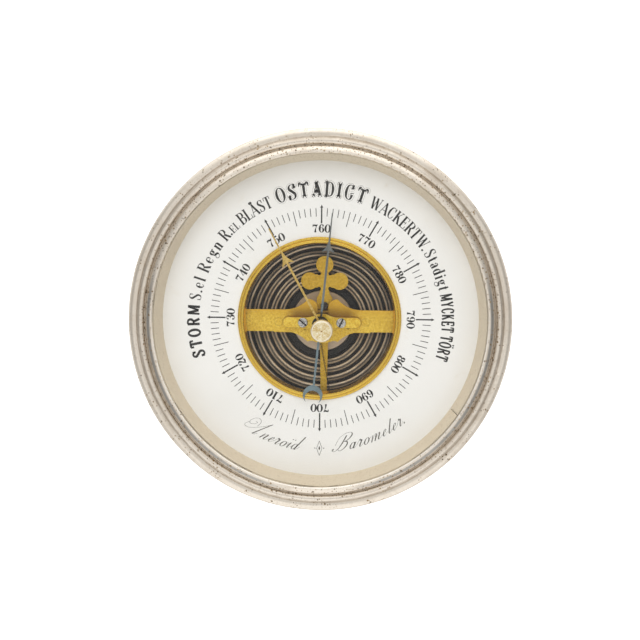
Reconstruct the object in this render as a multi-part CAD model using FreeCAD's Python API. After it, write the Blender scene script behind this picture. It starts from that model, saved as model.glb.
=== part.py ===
import FreeCAD, Part
import math
import os

# Round aneroid barometer, millimetres. +Z is up and the dial looks along -Y.
# The origin is the hanging hole's centre on the flat back face (y = 0).
# Each piece is drawn about the case axis (x = 0, z = 0) and is moved down by HANG_HEIGHT when it is saved.

# ---- driving dimensions ----
HANG_HEIGHT = 57.0          # hanging hole above the case axis
MOVE_X = 0.5                # movement axis, right of the case axis
MOVE_Z = -1.8               # movement axis, above the case axis
ARBOR_DX = -0.5             # hand arbor from the movement axis
ARBOR_DZ = -0.25
BRIDGE_DX = 0.25            # bridge outline from the movement axis
BRIDGE_DZ = 0.45
LEVER_DX = 0.75             # lever's middle from the movement axis
KNOB_X = 0.9                # setting knob's axis from the case axis
KNOB_Z = -3.1

CASE_R = 68.0
CASE_WALL = 1.0
BACK_THICK = 1.2
CASE_FRONT = -35.9          # front edge of the drum
BEZEL_R = 74.7
BEZEL_BACK = -28.5          # back edge of the bezel's skirt
LIP_R = 65.0                # sight opening in the bezel's lip
GLASS_R = 66.5
GLASS_BACK = -43.2
GLASS_THICK = 2.0
GLASS_HOLE_R = 2.0

DIAL_R = 64.5
DIAL_BACK = -33.0
DIAL_FACE = -34.0
DIAL_HOLE_R = 30.4
RING_R = 32.0               # gilt ring round the dial's opening
RING_X = -0.45              # opening and gilt ring from the case axis
REVEAL_BACK_R = 61.9        # reveal ring at the dial
REVEAL_FRONT_R = 64.8       # reveal ring at the glass
REVEAL_JOINT_DEG = -34.0    # the split in the reveal ring, from +X

PLATE_R = 50.0
PLATE_BACK = -4.2
PLATE_FRONT = -6.2
SPACER_RADIUS = 42.0        # spacers from the movement axis
FOOT_RADIUS = 46.0          # dial feet from the movement axis

CAPSULE_R = 32.9
CAPSULE_MID = -17.8
CAPSULE_TOP = -22.0         # ridge tops and middle disc of the upper diaphragm
SHEET = 0.35                # diaphragm thickness
RIDGE_PITCH = 3.34
RIDGE_COUNT = 5
RIDGE_DEPTH = 1.3
FIRST_VALLEY_R = 14.9
VALLEY_HALF = 0.4           # half width of the flat floor between two ridges

BRIDGE_BACK = -27.6
BRIDGE_FRONT = -29.0
STRAP_HALF = 4.3            # half width of the bridge strap
LEG_X = 36.0                # inner face of the bridge legs
FOOT_X = 46.0               # outer end of the bridge feet
RIVET_X = 16.6
COCK_BACK = -31.0
COCK_FRONT = -32.2
COCK_SCREW_X = 7.5

ARBOR_R = 0.8
RUNNING = 0.06              # radial clearance of a turning shaft
FIT = 0.02                  # radial clearance of a fixed fit
ARBOR_BACK = -25.2
DRUM_PITCH_R = 1.5
CHAIN_Y = -26.3
CHAIN_R = 0.25

LEVER_BACK = -23.6
LEVER_FRONT = -24.6
FULCRUM_Z = 3.5             # lever pivot above the movement axis
FULCRUM_Y = -24.1
FULCRUM_R = 0.6
LEVER_SCREW_Z = 6.2
LINK_Z = -34.5              # link rod below the movement axis
INPUT_ARM = 4.0
CHAIN_ARM = 14.0
CHAIN_ARM_X = 6.0
SHAFT_Y = CHAIN_Y + CHAIN_ARM
SHAFT_Z = LINK_Z - INPUT_ARM
SHAFT_R = 1.0
BRACKET_X = 7.6             # inner face of the rock shaft's brackets

HAND_BACK = -38.2
HAND_THICK = 0.4
HAND_DEG = 5.6              # hand at rest, clockwise from the top
SET_HAND_BACK = -41.6
SET_HAND_DEG = -28.8
KNOB_FRONT = -56.0
KNOB_R = 4.3

AXIS = FreeCAD.Vector(0, 1, 0)
os.makedirs("parts", exist_ok=True)


# ---- helpers ----
def vec(x, y, z):
    return FreeCAD.Vector(x, y, z)


def save(name, *solids):
    """Writes one node, moved so that the hanging hole is at the origin."""
    shape = solids[0] if len(solids) == 1 else Part.makeCompound(list(solids))
    shape = shape.copy()
    shape.translate(vec(0, 0, -HANG_HEIGHT))
    shape.exportStep("parts/" + name + ".step")


def moved(shape, dx, dz):
    shape = shape.copy()
    shape.translate(vec(dx, 0, dz))
    return shape


def wire(path, place):
    """A closed wire. A path item is a point, or an arc's middle and end as a pair of points."""
    edges = []
    here = place(*path[0])
    for item in path[1:] + [path[0]]:
        arc = isinstance(item[0], tuple)
        end = place(*(item[1] if arc else item))
        if arc:
            edges.append(Part.Arc(here, place(*item[0]), end).toShape())
        elif here.distanceToPoint(end) > 1e-7:
            edges.append(Part.makeLine(here, end))
        here = end
    return Part.Wire(edges)


def turned(path):
    """A solid of revolution about the Y axis from a path of (radius, y) points."""
    face = Part.Face(wire(path, lambda r, y: vec(r, y, 0)))
    return face.revolve(vec(0, 0, 0), AXIS, 360)


def flat(path, back, front):
    """A plate from a path of (x, z) points, between two y values."""
    face = Part.Face(wire(path, lambda x, z: vec(x, back, z)))
    return face.extrude(vec(0, front - back, 0))


def rod(radius, back, front, x=0.0, z=0.0):
    """A cylinder along Y."""
    return Part.makeCylinder(radius, back - front, vec(x, front, z), AXIS)


def cross_rod(radius, x0, x1, y, z):
    """A cylinder along X."""
    return Part.makeCylinder(radius, x1 - x0, vec(x0, y, z), vec(1, 0, 0))


def block(x0, x1, y0, y1, z0, z1):
    return Part.makeBox(x1 - x0, y1 - y0, z1 - z0, vec(x0, y0, z0))


def polar(radius, degrees):
    angle = math.radians(degrees)
    return radius * math.cos(angle), radius * math.sin(angle)


def mirrored(path):
    """Adds a path's mirror image in x, so that half an outline makes the whole of it."""
    flipped = []
    for i in range(len(path) - 1, 0, -1):
        start = path[i - 1] if not isinstance(path[i - 1][0], tuple) else path[i - 1][1]
        item = path[i]
        end = (-start[0], start[1])
        flipped.append(((-item[0][0], item[0][1]), end) if isinstance(item[0], tuple) else end)
    last = path[-1][1] if isinstance(path[-1][0], tuple) else path[-1]
    return path + ([(-last[0], last[1])] if last[0] else []) + flipped


def dome(radius, edge_y, top_y):
    """An arc item from a dome's edge to its top on the axis."""
    rise = edge_y - top_y
    ball_r = (radius * radius + rise * rise) / (2 * rise)
    half = math.asin(radius / ball_r) / 2
    return ((ball_r * math.sin(half), top_y + ball_r - ball_r * math.cos(half)), (0, top_y))


def slotted_screw(head_r, head_back, head_front, shank_r, shank_back, x, z, slot_deg):
    """A cheese-head screw driven from the front."""
    head = rod(head_r, head_back, head_front, x, z)
    head = head.makeFillet(0.25, [e for e in head.Edges if e.BoundBox.YMax < head_front + 0.01])
    slot = block(-head_r - 1, head_r + 1, head_front - 1, head_front + 0.45, -0.3, 0.3)
    slot.rotate(vec(0, 0, 0), AXIS, slot_deg)
    slot.translate(vec(x, 0, z))
    return head.fuse(rod(shank_r, shank_back, head_back, x, z)).cut(slot).removeSplitter()


# ---- case ----
def case_drum():
    """Spun cup: the wall and the flat back in one, with a rolled back corner."""
    inner = CASE_R - CASE_WALL
    cup = turned([
        (0, 0), (66.0, 0), ((67.41, -0.59), (CASE_R, -2.0)),
        (CASE_R, CASE_FRONT), (inner, CASE_FRONT), (inner, -2.2),
        ((66.71, -1.49), (66.0, -BACK_THICK)), (0, -BACK_THICK),
    ])
    cup = cup.cut(rod(3.0, 1, -3, 0, HANG_HEIGHT))
    cup = cup.cut(rod(4.5, 1, -3, MOVE_X, MOVE_Z))
    for x in (-7.5, 7.5):
        cup = cup.cut(rod(1.2 + FIT, 1, -3, x, HANG_HEIGHT))
    for x, z in spacer_places():
        cone = Part.makeCone(3.02, 1.52, 1.5, vec(x, 0, z), vec(0, -1, 0))
        cup = cup.cut(cone).cut(rod(1.5 + FIT, 1, -3, x, z))
    return cup


def hanger_plate():
    plate = block(-11, 11, -2.2, -BACK_THICK, HANG_HEIGHT - 5.5, HANG_HEIGHT + 5.5)
    plate = plate.makeFillet(2.5, [e for e in plate.Edges if abs(e.tangentAt(0).y) > 0.9])
    plate = plate.cut(rod(3.0, 1, -3, 0, HANG_HEIGHT))
    for x in (-7.5, 7.5):
        plate = plate.cut(rod(1.2 + FIT, 1, -3, x, HANG_HEIGHT))
    return plate


def hanger_rivet(x):
    shank = rod(1.2, 0, -2.2, x, HANG_HEIGHT)
    head = turned([(0, -2.2), (2.1, -2.2), dome(2.1, -2.2, -3.1)])
    head.translate(vec(x, 0, HANG_HEIGHT))
    return shank.fuse(head).removeSplitter()


def spacer_places():
    """Centres of the three posts between the back and the movement plate, about the case axis."""
    places = [polar(SPACER_RADIUS, angle) for angle in (30, 150, 270)]
    return [(x + MOVE_X, z + MOVE_Z) for x, z in places]


def case_screw(x, z):
    """Countersunk screw, flush with the back."""
    head = Part.makeCone(3.0, 1.5, 1.5, vec(x, 0, z), vec(0, -1, 0))
    screw = head.fuse(rod(1.5, -1.0, -7.2, x, z)).removeSplitter()
    return screw.cut(block(x - 4, x + 4, -0.7, 1, z - 0.35, z + 0.35))


def bezel():
    """Spun bezel: lip, sloping band, bead and outer roll in front, and a skirt over the drum behind."""
    return turned([
        (LIP_R, -45.2), (LIP_R, -46.0), ((LIP_R + 0.2, -46.35), (65.6, -46.5)),
        ((66.95, -46.0), (68.0, -44.7)), (68.2, -43.9), (68.35, -43.9),
        ((69.85, -45.1), (71.1, -43.3)), (71.3, -43.18),
        ((74.0, -42.7), (BEZEL_R, -41.0)), ((74.0, -39.3), (72.8, -38.65)),
        (72.8, -39.6), ((73.5, -40.1), (73.75, -41.0)), ((73.15, -42.1), (71.6, -42.45)),
        (70.4, -42.2), (69.2, -41.0), (69.2, BEZEL_BACK), (CASE_R + 0.05, BEZEL_BACK),
        (CASE_R + 0.05, CASE_FRONT - 0.2), (66.8, CASE_FRONT - 0.2), (66.8, -45.2),
    ])


def glass():
    disc = rod(GLASS_R, GLASS_BACK, GLASS_BACK - GLASS_THICK)
    return disc.cut(rod(GLASS_HOLE_R, 0, -60, KNOB_X, KNOB_Z))


def reveal_ring():
    """Conical ring between the dial and the glass, sprung in and split at one place."""
    ring = turned([
        (REVEAL_BACK_R, DIAL_FACE), (REVEAL_BACK_R + 1.1, DIAL_FACE),
        (REVEAL_FRONT_R + 1.1, GLASS_BACK), (REVEAL_FRONT_R, GLASS_BACK),
    ])
    split = block(50, 80, -60, 0, -0.15, 0.15)
    split.rotate(vec(0, 0, 0), AXIS, -REVEAL_JOINT_DEG)
    return ring.cut(split)


# ---- dial ----
def dial():
    return rod(DIAL_R, DIAL_BACK, DIAL_FACE).cut(rod(DIAL_HOLE_R, 0, -60, RING_X))


def dial_inner_ring():
    """Gilt double-bead ring round the opening, with a wall that goes back through the dial."""
    ring = turned([
        (RING_R, DIAL_FACE), ((RING_R - 0.5, -35.0), (30.95, -34.9)),
        ((30.3, -35.7), (29.6, -34.8)), (29.0, -30.6), (29.8, -30.6), (30.35, DIAL_FACE),
    ])
    return moved(ring, RING_X, 0)


def dial_foot_places():
    places = [polar(FOOT_RADIUS, angle) for angle in (90, 215, 325)]
    return [(x + MOVE_X, z + MOVE_Z) for x, z in places]


def dial_foot(x, z):
    return rod(2.0, PLATE_FRONT, DIAL_BACK, x, z).cut(rod(1.0 + FIT, 0, PLATE_FRONT - 4.0, x, z))


def dial_foot_screw(x, z):
    """Screw through the movement plate from behind; its slot faces the back."""
    head = rod(2.2, PLATE_BACK + 1.6, PLATE_BACK, x, z)
    screw = head.fuse(rod(1.0, PLATE_BACK, PLATE_FRONT - 3.6, x, z)).removeSplitter()
    return screw.cut(block(x - 3, x + 3, PLATE_BACK + 1.0, 0, z - 0.3, z + 0.3))


# ---- movement frame, drawn about the movement axis ----
def bracket_screw_places():
    return [(-14.0, SHAFT_Z), (14.0, SHAFT_Z)]


def bridge_screw_places():
    return [(x + BRIDGE_DX, BRIDGE_DZ) for x in (-FOOT_X + 4.5, FOOT_X - 4.5)]


def movement_plate():
    plate = rod(PLATE_R, PLATE_BACK, PLATE_FRONT)
    holes = [(polar(SPACER_RADIUS, a), 1.5) for a in (30, 150, 270)]
    holes += [(polar(FOOT_RADIUS, a), 1.0) for a in (90, 215, 325)]
    holes += [(place, 1.0) for place in bracket_screw_places()]
    holes += [(place, 1.25) for place in bridge_screw_places()]
    for (x, z), radius in holes:
        plate = plate.cut(rod(radius + FIT, 0, -10, x, z))
    return plate.cut(rod(2.0 + RUNNING, 0, -10))


def plate_spacer(x, z):
    return rod(3.5, -BACK_THICK - 0.3, PLATE_BACK, x, z).cut(rod(1.5 + FIT, 0, -10, x, z))


def notch_edge():
    """Left half of the notch's round bottom, from its side to the centre line."""
    return [(-2.1, 3.0), ((-1.48, 1.92), (0, 1.5))]


def bridge():
    """Strap over the capsule, bent down to a foot at each end, with a shaped, notched middle."""
    strap_path = [
        (-FOOT_X, PLATE_FRONT), (-FOOT_X, PLATE_FRONT - 1.4), (-LEG_X - 1.4, PLATE_FRONT - 1.4),
        (-LEG_X - 1.4, BRIDGE_FRONT + 2.2),
        ((-LEG_X - 0.76, BRIDGE_FRONT + 0.64), (-LEG_X + 0.8, BRIDGE_FRONT)),
        (LEG_X - 0.8, BRIDGE_FRONT), ((LEG_X + 0.76, BRIDGE_FRONT + 0.64), (LEG_X + 1.4, BRIDGE_FRONT + 2.2)),
        (LEG_X + 1.4, PLATE_FRONT - 1.4), (FOOT_X, PLATE_FRONT - 1.4), (FOOT_X, PLATE_FRONT),
        (LEG_X, PLATE_FRONT), (LEG_X, BRIDGE_BACK + 1.0),
        ((LEG_X - 0.29, BRIDGE_BACK + 0.29), (LEG_X - 1.0, BRIDGE_BACK)), (-LEG_X + 1.0, BRIDGE_BACK),
        ((-LEG_X + 0.29, BRIDGE_BACK + 0.29), (-LEG_X, BRIDGE_BACK + 1.0)), (-LEG_X, PLATE_FRONT),
    ]
    face = Part.Face(wire(strap_path, lambda x, y: vec(x, y, -STRAP_HALF)))
    strap = face.extrude(vec(0, 0, 2 * STRAP_HALF))
    middle = flat(mirrored([
        (0, -8.8), ((-1.6, -8.65), (-3.0, -8.3)), ((-4.4, -7.9), (-5.9, -8.3)),
        ((-10.3, -5.3), (-15.0, -STRAP_HALF)), (-15.0, STRAP_HALF), ((-10.3, 5.3), (-5.8, 8.5)),
        ((-3.0, 7.4), (-2.1, 4.6)),
    ] + notch_edge()), BRIDGE_BACK, BRIDGE_FRONT)
    notch = flat(mirrored([(0, 6.0), (-2.1, 6.0)] + notch_edge()), BRIDGE_BACK, BRIDGE_FRONT)
    body = moved(strap.fuse(middle).cut(notch).removeSplitter(), BRIDGE_DX, BRIDGE_DZ)
    body = body.cut(rod(ARBOR_R + RUNNING, 0, -60, ARBOR_DX, ARBOR_DZ))
    for x in (-RIVET_X, RIVET_X):
        body = body.cut(rod(1.6 + FIT, 0, -60, x, 0))
    for x in (-COCK_SCREW_X, COCK_SCREW_X):
        body = body.cut(rod(0.9 + FIT, 0, -60, x, 0))
    for x, z in bridge_screw_places():
        body = body.cut(rod(1.25 + FIT, 0, -60, x, z))
    return body


def lever_carrier():
    """Thin plate under the bridge with two lugs for the lever's pivot."""
    thick_back = BRIDGE_BACK + 0.7
    plate = block(-19, 19, BRIDGE_BACK, thick_back, -STRAP_HALF, STRAP_HALF - 0.3)
    lugs = [block(x, x + 1.2, BRIDGE_BACK, FULCRUM_Y + 1.2, FULCRUM_Z - 1.6, FULCRUM_Z + 1.6)
            for x in (LEVER_DX - 5.9, LEVER_DX + 4.7)]
    body = plate.fuse(lugs[0]).fuse(lugs[1]).removeSplitter()
    body = body.cut(rod(3.2, 0, -60, ARBOR_DX, ARBOR_DZ))
    body = body.cut(block(LEVER_DX - 3.2, LEVER_DX + 3.2, -60, 0, 0, 10))
    body = body.cut(cross_rod(FULCRUM_R + FIT, -10, 10, FULCRUM_Y, FULCRUM_Z))
    for x in (-COCK_SCREW_X, COCK_SCREW_X):
        body = body.cut(rod(0.9 + FIT, 0, -60, x, 0))
    for x in (-RIVET_X, RIVET_X):
        body = body.cut(rod(1.6 + FIT, 0, -60, x, 0))
    return body


def strap_rivet(x):
    """Rivet that holds the carrier under the strap, filed flush in front."""
    tail = rod(2.1, BRIDGE_BACK + 1.4, BRIDGE_BACK + 0.7, x, 0)
    return rod(1.6, BRIDGE_BACK + 0.7, BRIDGE_FRONT - 0.01, x, 0).fuse(tail).removeSplitter()


def cock():
    """Plate that holds the arbor's front bearing on two pads on the bridge."""
    plate = flat(mirrored([
        (0, -3.5), ((-0.98, -3.43), (-1.9, -3.2)), ((-4.2, -2.3), (-6.8, -2.0)), (-13.2, -2.0),
        ((-15.2, 0), (-13.2, 2.0)), (-6.8, 2.0), ((-4.2, 2.3), (-1.9, 3.2)), ((-0.98, 3.43), (0, 3.5)),
    ]), COCK_BACK, COCK_FRONT)
    for x in (-COCK_SCREW_X, COCK_SCREW_X):
        plate = plate.fuse(rod(1.9, BRIDGE_FRONT, COCK_BACK, x, 0))
    for x in (-COCK_SCREW_X, COCK_SCREW_X):
        plate = plate.cut(rod(0.9 + FIT, 0, -60, x, 0))
    return plate.cut(rod(ARBOR_R + RUNNING, 0, -60, ARBOR_DX, ARBOR_DZ)).removeSplitter()


def shaft_bracket(side):
    """Angle bracket for one end of the rock shaft; side is -1 on the left, 1 on the right."""
    inner = BRACKET_X * side
    outer = (BRACKET_X + 2.0) * side
    foot_end = 17.0 * side
    upright = block(min(inner, outer), max(inner, outer), SHAFT_Y - 2.2, PLATE_FRONT,
                    SHAFT_Z - 2.5, SHAFT_Z + 2.5)
    foot = block(min(inner, foot_end), max(inner, foot_end), PLATE_FRONT - 1.4, PLATE_FRONT,
                 SHAFT_Z - 2.5, SHAFT_Z + 2.5)
    body = upright.fuse(foot).removeSplitter()
    body = body.cut(cross_rod(SHAFT_R + RUNNING, -20, 20, SHAFT_Y, SHAFT_Z))
    return body.cut(rod(1.0 + FIT, 0, -60, 14.0 * side, SHAFT_Z))


# ---- capsule ----
def diaphragm_path():
    """Front line of the upper diaphragm from the rim to the axis: rim, ridges, groove and middle disc."""
    rim_y = CAPSULE_MID - SHEET
    last_valley = FIRST_VALLEY_R + RIDGE_COUNT * RIDGE_PITCH
    valley_y = CAPSULE_TOP + RIDGE_DEPTH
    path = [(CAPSULE_R, rim_y), (last_valley + 0.6, rim_y), (last_valley, valley_y)]
    for i in range(RIDGE_COUNT):
        valley = last_valley - i * RIDGE_PITCH
        path.append((valley - VALLEY_HALF, valley_y))
        path.append(((valley - RIDGE_PITCH / 2, CAPSULE_TOP), (valley - RIDGE_PITCH + VALLEY_HALF, valley_y)))
    path += [(FIRST_VALLEY_R, valley_y), (FIRST_VALLEY_R - 0.5, valley_y + 0.4), (12.3, valley_y + 0.4),
             (11.8, CAPSULE_TOP), (0, CAPSULE_TOP)]
    return path


def shifted(item, dy):
    if isinstance(item[0], tuple):
        return (shifted(item[0], dy), shifted(item[1], dy))
    return (item[0], item[1] + dy)


def reversed_path(path):
    """The same line walked the other way."""
    ends = [item[1] if isinstance(item[0], tuple) else item for item in path]
    back = [ends[-1]]
    for i in range(len(path) - 1, 0, -1):
        item = path[i]
        back.append((item[0], ends[i - 1]) if isinstance(item[0], tuple) else ends[i - 1])
    return back


def capsule_upper():
    front = diaphragm_path()
    return turned(front + reversed_path([shifted(item, SHEET) for item in front]))


def capsule_lower():
    upper = capsule_upper()
    return upper.mirror(vec(0, CAPSULE_MID, 0), AXIS)


def capsule_stud():
    """Boss under the capsule that the adjusting screw enters."""
    low_face = 2 * CAPSULE_MID - CAPSULE_TOP
    boss = turned([(0, low_face), (6.0, low_face), (6.0, low_face + 1.2), (4.0, low_face + 1.2),
                   (4.0, PLATE_FRONT - 1.4), (0, PLATE_FRONT - 1.4)])
    return boss.cut(rod(2.0 + RUNNING, 0, PLATE_FRONT - 5.0))


def capsule_spring():
    """Two bowed leaves joined at their ends, inside the capsule, that hold its faces apart."""
    rise = CAPSULE_MID - (CAPSULE_TOP + SHEET + 0.05)
    end, leaf = 11.0, 0.7
    inner_end, inner_rise = end - 1.6, rise - leaf

    def lozenge(half, height):
        bend = (half * 0.55, height * 0.72)
        return wire([
            (-half, CAPSULE_MID), ((-bend[0], CAPSULE_MID - bend[1]), (0, CAPSULE_MID - height)),
            ((bend[0], CAPSULE_MID - bend[1]), (half, CAPSULE_MID)),
            ((bend[0], CAPSULE_MID + bend[1]), (0, CAPSULE_MID + height)),
            ((-bend[0], CAPSULE_MID + bend[1]), (-half, CAPSULE_MID)),
        ], lambda x, y: vec(x, y, -4.0))

    outer = Part.Face(lozenge(end, rise)).extrude(vec(0, 0, 8.0))
    return outer.cut(Part.Face(lozenge(inner_end, inner_rise)).extrude(vec(0, 0, 8.0)))


def capsule_post():
    return turned([(0, CAPSULE_TOP), (3.2, CAPSULE_TOP), (3.2, CAPSULE_TOP - 0.7), (1.2, CAPSULE_TOP - 0.7),
                   (1.2, -23.0), dome(1.2, -23.0, LEVER_BACK + 0.15)])


def adjusting_screw():
    """Slotted screw under the capsule; its head faces the access hole in the back."""
    head = rod(3.4, -1.5, -3.9)
    screw = head.fuse(rod(2.0, -3.9, PLATE_FRONT - 4.6)).removeSplitter()
    return screw.cut(block(-5, 5, -2.6, 0, -0.4, 0.4))


# ---- lever, link and rock shaft ----
def main_lever():
    """Bar on a pivot barrel: short above it, long below it, with a forked pad for the link rod."""
    pad = 2.4
    bar = flat(mirrored([
        (0, 9.0), (-2.6, 9.0), (-2.6, 1.0), (-1.55, -8.0), (-1.15, LINK_Z + 1.8), (0, LINK_Z + 1.8),
    ]), LEVER_BACK, LEVER_FRONT)
    barrel = cross_rod(1.3, -4.4, 4.4, FULCRUM_Y, FULCRUM_Z)
    body = bar.fuse(rod(pad, LEVER_BACK, LEVER_FRONT, 0, LINK_Z)).fuse(barrel).removeSplitter()
    body = body.cut(cross_rod(FULCRUM_R + RUNNING, -10, 10, FULCRUM_Y, FULCRUM_Z))
    body = body.cut(block(-0.8, 0.8, -60, 0, LINK_Z - 1.3, LINK_Z + 1.3))
    body = body.cut(cross_rod(0.4 + FIT, -5, 5, FULCRUM_Y, LINK_Z))
    return body.cut(rod(0.8 + FIT, 0, -60, 0, LEVER_SCREW_Z))


def lever_trefoil():
    """Trefoil counterpoise: three round lobes with nicks between them, and a stem that swells below."""
    y0, y1 = LEVER_FRONT, LEVER_FRONT - 0.9
    lobe_r, side_x, side_z, top_z = 3.4, 5.9, 15.9, 22.4
    web = flat(mirrored([
        (0, top_z), (-1.75, top_z), (-1.75, side_z + 2.6), (-side_x, side_z + 2.6),
        (-side_x, side_z - 2.6), (-1.75, side_z - 2.6), ((-2.05, 11.1), (-3.05, 9.4)),
        (-3.05, 4.75), (0, 4.75),
    ]), y0, y1)
    body = web.fuse([rod(lobe_r, y0, y1, x, z) for x, z in ((0, top_z), (-side_x, side_z), (side_x, side_z))])
    for x in (-2.2, 2.2):
        for z in (side_z - 3.0, side_z + 3.0):
            body = body.cut(rod(0.75, 0, -60, x, z))
    return body.removeSplitter().cut(rod(0.8 + FIT, 0, -60, 0, LEVER_SCREW_Z))


def link_rod():
    """Flat rod from the lever's fork down to beside the input arm, with an eye at the upper end."""
    eye = cross_rod(0.9, -0.5, 0.5, FULCRUM_Y, LINK_Z)
    shank = block(-0.5, 0.5, FULCRUM_Y, SHAFT_Y, LINK_Z - 0.45, LINK_Z + 0.45)
    foot = cross_rod(1.0, -0.5, 0.5, SHAFT_Y, LINK_Z)
    body = eye.fuse(shank).fuse(foot).removeSplitter()
    return body.cut(cross_rod(0.4 + RUNNING, -5, 5, FULCRUM_Y, LINK_Z))


def input_arm():
    """Short arm on the rock shaft, beside the link rod."""
    hub = cross_rod(2.0, 0.9, 2.1, SHAFT_Y, SHAFT_Z)
    tip = cross_rod(1.1, 0.9, 2.1, SHAFT_Y, LINK_Z)
    web = block(0.9, 2.1, SHAFT_Y - 0.9, SHAFT_Y + 0.9, SHAFT_Z, LINK_Z)
    return hub.fuse(web).fuse(tip).removeSplitter().cut(cross_rod(SHAFT_R + FIT, -9, 9, SHAFT_Y, SHAFT_Z))


def chain_arm():
    """Long arm on the rock shaft that reaches forward to the chain."""
    x0, x1 = CHAIN_ARM_X - 0.5, CHAIN_ARM_X + 0.5
    hub = cross_rod(2.0, x0, x1, SHAFT_Y, SHAFT_Z)
    tip = cross_rod(0.9, x0, x1, CHAIN_Y, SHAFT_Z)
    web = block(x0, x1, CHAIN_Y, SHAFT_Y, SHAFT_Z - 0.75, SHAFT_Z + 0.75)
    return hub.fuse(web).fuse(tip).removeSplitter().cut(cross_rod(SHAFT_R + FIT, -9, 9, SHAFT_Y, SHAFT_Z))


# ---- arbor, chain and hairspring ----
def arbor():
    return turned([(0, ARBOR_BACK), (ARBOR_R, ARBOR_BACK), (ARBOR_R, -36.0), (0.6, -36.4),
                   (0.6, -38.9), (0, -38.9)])


def chain_drum():
    """Small flanged barrel on the arbor that the chain winds on."""
    drum = turned([(0, -25.4), (2.1, -25.4), (2.1, -25.7), (DRUM_PITCH_R - CHAIN_R, -25.8),
                   (DRUM_PITCH_R - CHAIN_R, -26.8), (2.1, -26.9), (2.1, -27.2), (0, -27.2)])
    return drum.cut(rod(ARBOR_R + FIT, 0, -60))


def chain():
    """Fine chain, drawn about the arbor as a round strand from the drum's left side to the chain arm."""
    end = vec(CHAIN_ARM_X - 0.85 - ARBOR_DX, CHAIN_Y, SHAFT_Z - ARBOR_DZ)
    reach = math.hypot(end.x, end.z)
    leave = math.atan2(end.z, end.x) - math.acos(DRUM_PITCH_R / reach)
    wrap_r = DRUM_PITCH_R + 0.05
    start = vec(wrap_r * math.cos(leave), CHAIN_Y, wrap_r * math.sin(leave))
    middle = vec(wrap_r * math.cos(leave - 1.6), CHAIN_Y, wrap_r * math.sin(leave - 1.6))
    far = vec(wrap_r * math.cos(leave - 3.2), CHAIN_Y, wrap_r * math.sin(leave - 3.2))
    spine = Part.Wire([Part.makeLine(end, start), Part.Arc(start, middle, far).toShape()])
    section = Part.Wire([Part.makeCircle(CHAIN_R, end, start - end)])
    return spine.makePipeShell([section], True, False)


def hairspring():
    """Flat spiral between the bridge and the cock."""
    inner_r, outer_r, turns, strip = 1.15, 4.1, 6, 0.12
    steps = 18 * turns
    inner = []
    outer = []
    for i in range(steps + 1):
        angle = 2 * math.pi * turns * i / steps
        radius = inner_r + (outer_r - inner_r) * i / steps
        inner.append(vec(radius * math.cos(angle), -29.6, radius * math.sin(angle)))
        outer.append(vec((radius + strip) * math.cos(angle), -29.6, (radius + strip) * math.sin(angle)))
    lines = []
    for points in (inner, outer):
        curve = Part.BSplineCurve()
        curve.interpolate(points)
        lines.append(curve.toShape())
    ends = [Part.makeLine(inner[0], outer[0]), Part.makeLine(inner[-1], outer[-1])]
    outline = Part.Wire(Part.sortEdges(lines + ends)[0])
    return Part.Face(outline).extrude(vec(0, -0.7, 0))


def hairspring_stud():
    return block(4.26, 5.2, -30.5, BRIDGE_FRONT, -0.7, 0.7)


# ---- hands and setting knob ----
def arrow_needle(barb_r, barb_half, apex_r, tip_r, start, back):
    """Arrow-headed needle along +Z: shaft, blunt barbs with hollow backs, then a taper to the tip."""
    shaft = 0.42
    head = apex_r - barb_r
    return flat(mirrored([
        (0, start), (-shaft, start), (-shaft, barb_r + 0.75),
        ((-barb_half * 0.55, barb_r + 0.45), (-barb_half, barb_r)),
        ((-barb_half - 0.12, barb_r + 0.22), (-barb_half, barb_r + 0.42)),
        ((-barb_half * 0.42, barb_r + head * 0.42), (-shaft * 0.8, apex_r)), (-0.2, tip_r), (0, tip_r),
    ]), back, back - HAND_THICK)


def pressure_hand():
    """Blued hand: arrow above, crescent below, and a round boss in the middle."""
    needle = arrow_needle(28.4, 2.35, 33.4, 43.8, -24.3, HAND_BACK)
    crescent = rod(3.85, HAND_BACK, HAND_BACK - HAND_THICK, 0, -27.75)
    crescent = crescent.cut(rod(3.0, 0, -60, 0, -29.0))
    boss = rod(3.3, HAND_BACK, HAND_BACK - HAND_THICK)
    hand = needle.fuse(crescent).fuse(boss).removeSplitter().cut(rod(1.2 + FIT, 0, -60))
    hand.rotate(vec(0, 0, 0), AXIS, HAND_DEG)
    return hand


def hand_pipe():
    """Pipe pushed on the arbor's end, which the hand is riveted to."""
    pipe = turned([(0, -36.9), (1.7, -36.9), (1.7, HAND_BACK), (1.2, HAND_BACK),
                   (1.2, -38.85), (0, -38.85)])
    return pipe.cut(rod(0.6 + FIT, 0, -60))


def set_hand():
    needle = arrow_needle(28.1, 2.35, 34.3, 44.0, 0.0, SET_HAND_BACK)
    hand = needle.fuse(rod(2.6, SET_HAND_BACK, SET_HAND_BACK - HAND_THICK)).removeSplitter()
    hand = hand.cut(rod(1.2 + FIT, 0, -60))
    hand.rotate(vec(0, 0, 0), AXIS, SET_HAND_DEG)
    return hand


def set_spindle():
    back = SET_HAND_BACK - HAND_THICK
    bearing = GLASS_HOLE_R - RUNNING
    return turned([(0, -40.9), (1.2, -40.9), (1.2, back), (3.0, back), (3.0, -42.9), (bearing, -42.9),
                   (bearing, -45.5), (1.2, -45.5), (1.2, -50.0), (0, -50.0)])


def spindle_nut():
    return rod(1.9, -41.0, SET_HAND_BACK).cut(rod(1.2 + FIT, 0, -60))


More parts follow.
